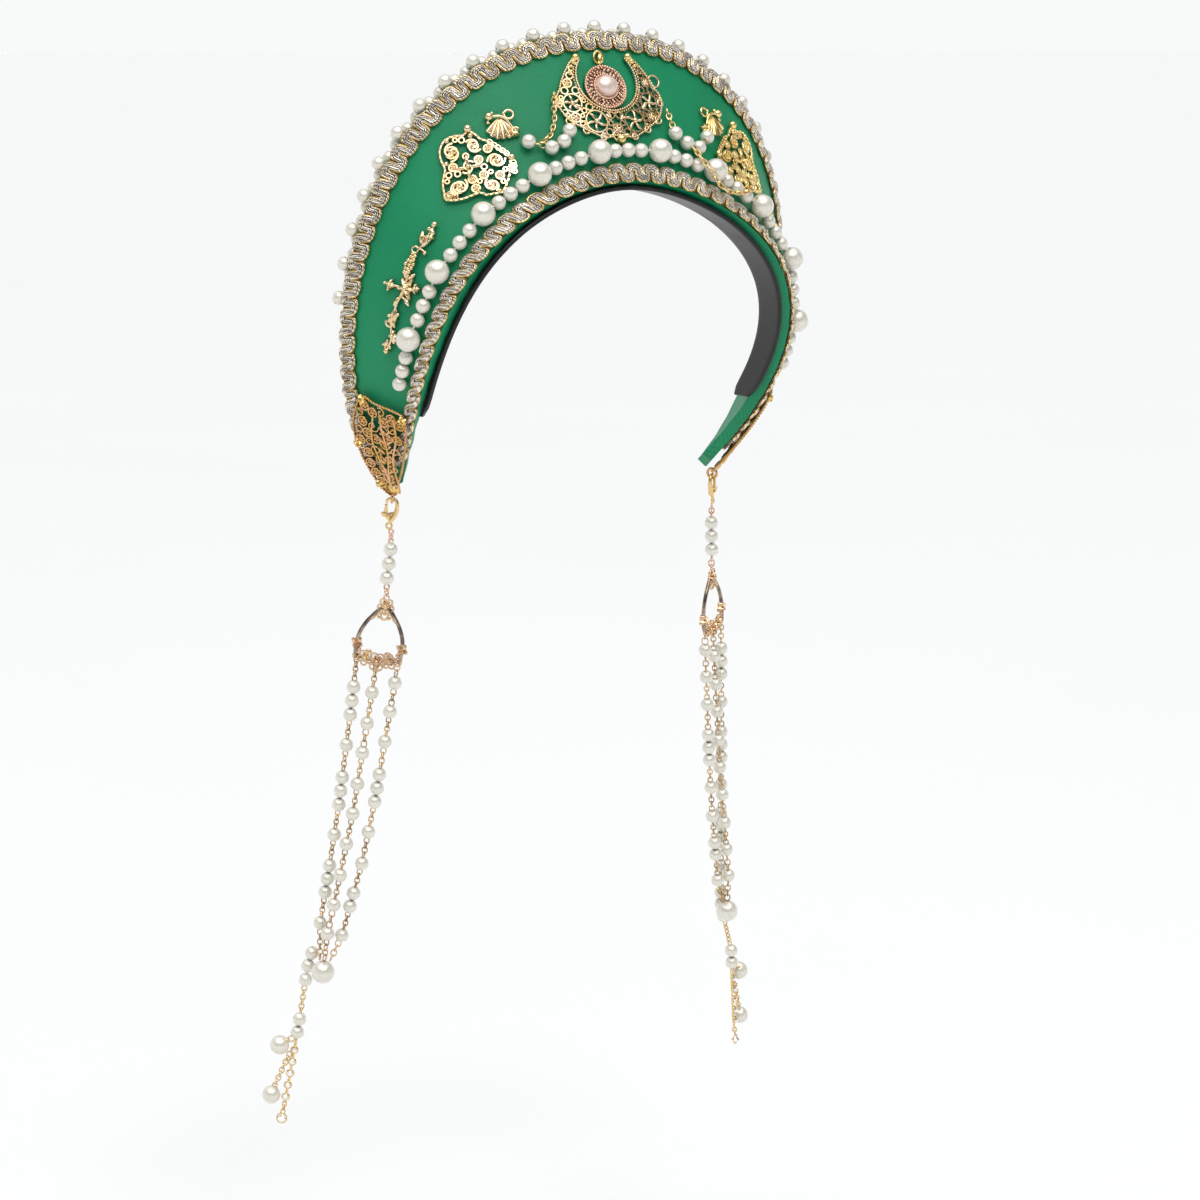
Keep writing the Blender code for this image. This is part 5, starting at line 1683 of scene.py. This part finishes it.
class HOOD_OT_hanger(bpy.types.Operator):
    """Arched hangers with blossoms, buds and rings"""

    bl_idname = "hood.hanger"
    bl_label = "Hangers"

    def execute(self, context):
        rows = [(HANGER_MID - x, y, 0.0, r) for x, y, r in ARCH]
        rows += [(HANGER_MID + x, y, 0.0, r) for x, y, r in ARCH[:0:-1]]
        arch = rounded(rows, 6, closed=True)
        arch_wire = hung(wires([arch[:, :3]], [arch[:, 3] * 1.35], 10, True))
        both(arch_wire, "hanger_arch", "grey_wire", "drop_hanger")
        parts = []
        for across, y, reach, petals, height, turn in HANGER_BLOSSOMS:
            x = HANGER_MID + across
            around = circle(x, y, 0.5, 0.62 * reach, petals, 1.0, turn)
            rings = [circle(*p, 0.36 * reach, 14) for p in around]
            parts += [
                dome(x, y, 0.72 * reach, petals, 0.4, height, -0.7, turn, 40, 0.5),
                grains([((x, y, height - 0.4), 0.28 * reach)], 3),
                wires(rings, 0.4, 6, True),
            ]
        curls = []
        for side in (-1, 1):
            x = HANGER_MID + side * 9.6
            for curl in HANGER_CURLS:
                curls.append(rounded([(HANGER_MID + side * u, y, z) for u, y, z in curl], 5))
            parts += [
                dome(x, 63.6, 2.9, 4, 0.35, 2.4, -1.0, 0.5, 32, 0.5),
                grains([((x, 61.4, 0.2), 0.8), ((x - side * 1.4, 66.0, 0.3), 0.9)], 3),
                leaf(HANGER_MID + side * 3.4, 50.0, 4.0, 2.0, 90 - side * 46, 0.1, 0.8),
            ]
        rings = [circle(HANGER_MID + x, y, 0.2, 1.5, 16) for x, y in HANGER_RINGS]
        parts += [wires(curls, 0.5, 8), wires(rings, 0.5, 8, True)]
        both(hung(joined(parts)), "hanger_blossoms", "rose_bloom")
        return {"FINISHED"}


STRAND_LINES = {
    # down, across, out
    "outer": ((69.9, -4.3, 0.0), (78.6, -4.2, 0.0), (80.6, -3.6, 0.0), (135.0, -1.7, -1.0),
              (162.4, -1.5, -2.2), (190.6, -1.5, -3.0), (204.2, 1.0, -1.6)),
    "middle": ((72.5, 4.4, 0.0), (79.6, 4.5, 0.0), (137.1, 4.9, 1.2), (164.8, 3.9, 2.2),
               (192.6, 2.6, 2.7), (203.2, 3.2, 1.9)),
    "inner": ((69.6, 13.1, 0.0), (75.6, 13.4, 0.0), (131.4, 13.2, 0.0), (158.6, 12.1, 0.0),
              (192.6, 8.6, 0.0), (203.2, 5.6, 0.6)),
}
STRAND_PEARLS = {
    "outer": (82.7, 88.8, 94.9, 108.3, 122.6, 128.7, 134.8, 148.4, 162.4, 168.5, 174.6, 188.7),
    "middle": (83.7, 97.2, 110.2, 123.9, 137.1, 150.6, 164.5, 177.9, 191.0),
    "inner": (77.9, 90.6, 103.9, 118.4, 124.5, 130.6, 144.1, 158.4, 172.0, 178.1, 191.4),
}


class HOOD_OT_strands(bpy.types.Operator):
    """Three strands of pearls on eyed wire in each drop"""

    bl_idname = "hood.strands"
    bl_label = "Strands"

    def execute(self, context):
        r = context.scene.hood_sizes.small_pearl / MM
        for name, line in STRAND_LINES.items():
            down, across, out = (np.array(v) for v in zip(*line))
            ys = STRAND_PEARLS[name]
            places = zip(np.interp(ys, down, across), ys, np.interp(ys, down, out))
            ends = ((across[0], down[0], out[0]), (across[-1], down[-1], out[-1]))
            rows, links = pearl_strand([(p, r) for p in places], ends)
            strand = hung(pearls(rows))
            both(strand, "strand_pearls_" + name, "ivory", "drop_strand_" + name)
            both(hung(eye_links(links, 1.3)), "strand_eyes_" + name, "brown_wire")
        return {"FINISHED"}


# Crystals: middle of the first one, step to the next, and how many there are
CRYSTAL_AT = (-3.4, 246.0)
CRYSTAL_STEP = (-0.12, 5.4)
CRYSTALS = 5
CRYSTAL_REACH = 1.35


class HOOD_OT_drop_end(bpy.types.Operator):
    """Gathering pearl, tail, pendants and crystal bar at the foot of each drop"""

    bl_idname = "hood.drop_end"
    bl_label = "Drop ends"

    def execute(self, context):
        sizes = context.scene.hood_sizes
        small, large = sizes.small_pearl / MM, sizes.large_pearl / MM

        def lone_pearl(node, word, place, way, radius, *fine):
            pearl = hung(pearls([(place, way, radius)], *fine))
            both(pearl, word + "_pearl", "ivory", node)

        lone_pearl("gathering_pearl", "gathering_big", (3.4, 208.6, 1.6), (0.1, 1, 0), large, 32, 20)
        places = ((-3.0, 203.0, -4.2), (-3.8, 209.1, -4.7), (-3.8, 215.2, -3.6), (-3.4, 231.9, 0.0),
                  (-3.4, 238.0, 0.0))
        rows, links = pearl_strand([(p, small) for p in places], ((-0.6, 199.6, -3.4), None))
        both(hung(pearls(rows)), "tail_pearls", "ivory", "drop_tail")
        links += [((-4.6, 240.6, 1.4), (-8.6, 242.2, 0.8)), ((-5.2, 247.6, 0.0), (-9.6, 264.6, 0.0))]
        both(hung(eye_links(links, 1.25, 0.32)), "tail_eyes", "wire")
        lone_pearl("pendant_short", "pendant_short", (-10.0, 244.8, 0.4), (-0.8, 0.6, 0), 4.2, 28, 18)
        lone_pearl("pendant_long", "pendant_long", (-10.2, 267.9, 0.0), (-0.3, 1, 0), 4.0, 28, 18)
        middles = [[at + k * step for at, step in zip(CRYSTAL_AT, CRYSTAL_STEP)] for k in range(CRYSTALS)]
        cone = bpy.ops.mesh.primitive_cone_add
        stone = joined([
            primitive(cone, vertices=8, radius1=1.0, radius2=0.55, depth=0.5, location=(0, 0, 0.55)),
            primitive(cone, vertices=8, radius1=0.12, radius2=1.0, depth=0.9, location=(0, 0, -0.15)),
        ])
        frames = [facing((x, y, 0.55), (0, 0, 1), CRYSTAL_REACH * MM, 0.4) for x, y in middles]
        gems = repeated(stone, frames + [facing((-4.1, 277.0, 0.2), (0.0, 1, 0), 2.1 * MM)])
        only(gems)
        bpy.ops.object.shade_flat()
        both(hung(gems), "rhinestones", "crystal", "crystal_bar crystal_end")
        prongs = [((x + CRYSTAL_REACH * math.cos(a), y + CRYSTAL_REACH * math.sin(a), 0.75), 0.34)
                  for x, y in middles for a in (0.8, 2.4, 3.9, 5.5)]
        bars = joined([
            wires([circle(x, y, 0.3, 1.45, 16) for x, y in middles], 0.42, 8, True),
            wires([[(-3.4, 241.4, -0.35), (-3.9, 270.6, -0.35)]], 0.6, 8),
            wires([circle(-4.1, 277.6, 0.2, 2.2, 16)], 0.3, 8, True),
            grains(prongs),
        ])
        both(hung(bars), "rhinestone_cups", "wire")
        eyes = eye_links([((-3.9, 270.2, 0.0), (-4.1, 275.4, 0.0))], 1.0)
        both(hung(eyes), "crystal_eyes", "wire")
        return {"FINISHED"}


# Stage, in metres
FLOOR_SIZE = 600.0
FLOOR_DROP = 0.12
SENSOR_WIDTH = 36.0
LAMP_AIM = Vector((0, 0.02, -0.12))
LAMPS = (
    # name, place, size, power, colour
    ("key", (-0.3, -1.4, 1.9), 0.4, 6.0, (1.0, 0.985, 0.96)),
    ("fill", (1.7, -1.6, 0.3), 0.9, 1.6, (0.96, 0.98, 1.0)),
    ("rear", (-0.6, 1.6, 1.1), 0.9, 1.0, (0.98, 0.99, 1.0)),
)
SUN_POWER = 2.5
SUN_ANGLE = math.radians(80)
SUN_WAY = (0.15, 0.38, -1.0)
SKY_GREYS = (
    # height in the sky, grey
    (0.22, 0.94), (0.38, 0.3), (0.5, 0.26), (0.62, 0.75),
)
SKY_STRENGTH = (
    # input of the Map Range node, its value; the sky is dim in front of the hood and bright behind it
    (1, -0.5), (2, 0.35), (3, 0.18), (4, 1.0),
)


def placed_light(name, kind, power, way, at=(0, 0, 0)):
    """Light that shines along a direction."""
    ob = linked(name, bpy.data.lights.new(name, kind))
    ob.data.energy = power
    ob.location = at
    ob.rotation_euler = Vector(way).to_track_quat("-Z", "Y").to_euler()
    return ob.data


class HOOD_OT_stage(bpy.types.Operator):
    """Pale floor, soft light and the camera"""

    bl_idname = "hood.stage"
    bl_label = "Stage"

    def execute(self, context):
        place = (0, 0, CAD_BOX[0][2] - FLOOR_DROP)
        floor = primitive(bpy.ops.mesh.primitive_plane_add, size=FLOOR_SIZE, location=place)
        floor.name = "floor"
        floor.data.materials.append(finish_named("stage"))
        a, e = math.radians(CAMERA_AZIMUTH), math.radians(CAMERA_ELEVATION)
        back = Vector((math.sin(a) * math.cos(e), -math.cos(a) * math.cos(e), math.sin(e)))
        right = Vector((math.cos(a), math.sin(a), 0))
        up = back.cross(right)
        pixel = CAMERA_DISTANCE / CAMERA_FOCAL
        aside, above = ((c - FRAME_PIXELS / 2) * pixel for c in CAMERA_CENTRE)
        place = back * CAMERA_DISTANCE - right * aside + up * above + Vector((0, FACE_Y, FACE_Z))
        camera = linked("camera", bpy.data.cameras.new("camera"))
        camera.data.sensor_width = SENSOR_WIDTH
        camera.data.lens = SENSOR_WIDTH * CAMERA_FOCAL / FRAME_PIXELS
        camera.data.clip_start = 0.05
        turn = Matrix((right, up, back)).transposed().to_4x4()
        camera.matrix_world = Matrix.Translation(place * MM) @ turn
        context.scene.camera = camera
        for name, at, size, power, colour in LAMPS:
            lamp = placed_light(name, "AREA", power, LAMP_AIM - Vector(at), at)
            lamp.shape = "SQUARE"
            lamp.size = size
            lamp.color = colour
        placed_light("soft_sun", "SUN", SUN_POWER, SUN_WAY).angle = SUN_ANGLE
        world = bpy.data.worlds.new("studio")
        context.scene.world = world
        world.use_nodes = True
        tree = world.node_tree
        sky = tree.nodes["Background"]
        where = tree.nodes.new("ShaderNodeTexCoord")
        split = tree.nodes.new("ShaderNodeSeparateXYZ")
        ramp = tree.nodes.new("ShaderNodeValToRGB")
        stops = ramp.color_ramp.elements
        stops[0].position = 0.0
        stops[0].color = (0.94, 0.95, 0.955, 1)
        stops[1].position = 0.9
        stops[1].color = (0.5, 0.51, 0.53, 1)
        for position, grey in SKY_GREYS:
            stops.new(position).color = (grey, grey * 1.01, grey * 1.02, 1)
        tree.links.new(where.outputs["Generated"], split.inputs[0])
        tree.links.new(split.outputs["Z"], ramp.inputs[0])
        tree.links.new(ramp.outputs[0], sky.inputs["Color"])
        behind = tree.nodes.new("ShaderNodeMapRange")
        for key, value in SKY_STRENGTH:
            behind.inputs[key].default_value = value
        tree.links.new(split.outputs["Y"], behind.inputs[0])
        tree.links.new(behind.outputs[0], sky.inputs["Strength"])
        context.scene.view_settings.view_transform = "Standard"
        return {"FINISHED"}


class HOOD_PT_panel(bpy.types.Panel):
    """Sizes, colours and pieces of the hood"""

    bl_idname = "HOOD_PT_panel"
    bl_label = "French Hood"
    bl_space_type = "VIEW_3D"
    bl_region_type = "UI"
    bl_category = "Hood"

    def draw(self, context):
        layout = self.layout
        for group in (context.scene.hood_sizes, context.scene.hood_colours):
            box = layout.box()
            for key in group.__annotations__:
                box.prop(group, key)
        for cls in OPERATORS:
            layout.operator(cls.bl_idname)


OPERATORS = (
    HOOD_OT_stage, HOOD_OT_halo, HOOD_OT_headband, HOOD_OT_gimp, HOOD_OT_edging, HOOD_OT_string,
    HOOD_OT_crescent, HOOD_OT_medallion, HOOD_OT_side_filigree, HOOD_OT_shell, HOOD_OT_spray,
    HOOD_OT_end_filigree, HOOD_OT_swags, HOOD_OT_clasps, HOOD_OT_drop_chain, HOOD_OT_hanger,
    HOOD_OT_strands, HOOD_OT_drop_end,
)
CLASSES = (HoodSizes, HoodColours, *OPERATORS, HOOD_PT_panel)


def register():
    for cls in CLASSES:
        bpy.utils.register_class(cls)
    bpy.types.Scene.hood_sizes = bpy.props.PointerProperty(type=HoodSizes)
    bpy.types.Scene.hood_colours = bpy.props.PointerProperty(type=HoodColours)


def unregister():
    del bpy.types.Scene.hood_colours
    del bpy.types.Scene.hood_sizes
    for cls in reversed(CLASSES):
        bpy.utils.unregister_class(cls)


def main():
    register()
    for cls in OPERATORS:
        getattr(bpy.ops.hood, cls.bl_idname.split(".")[1])()


if __name__ == "__main__":
    main()
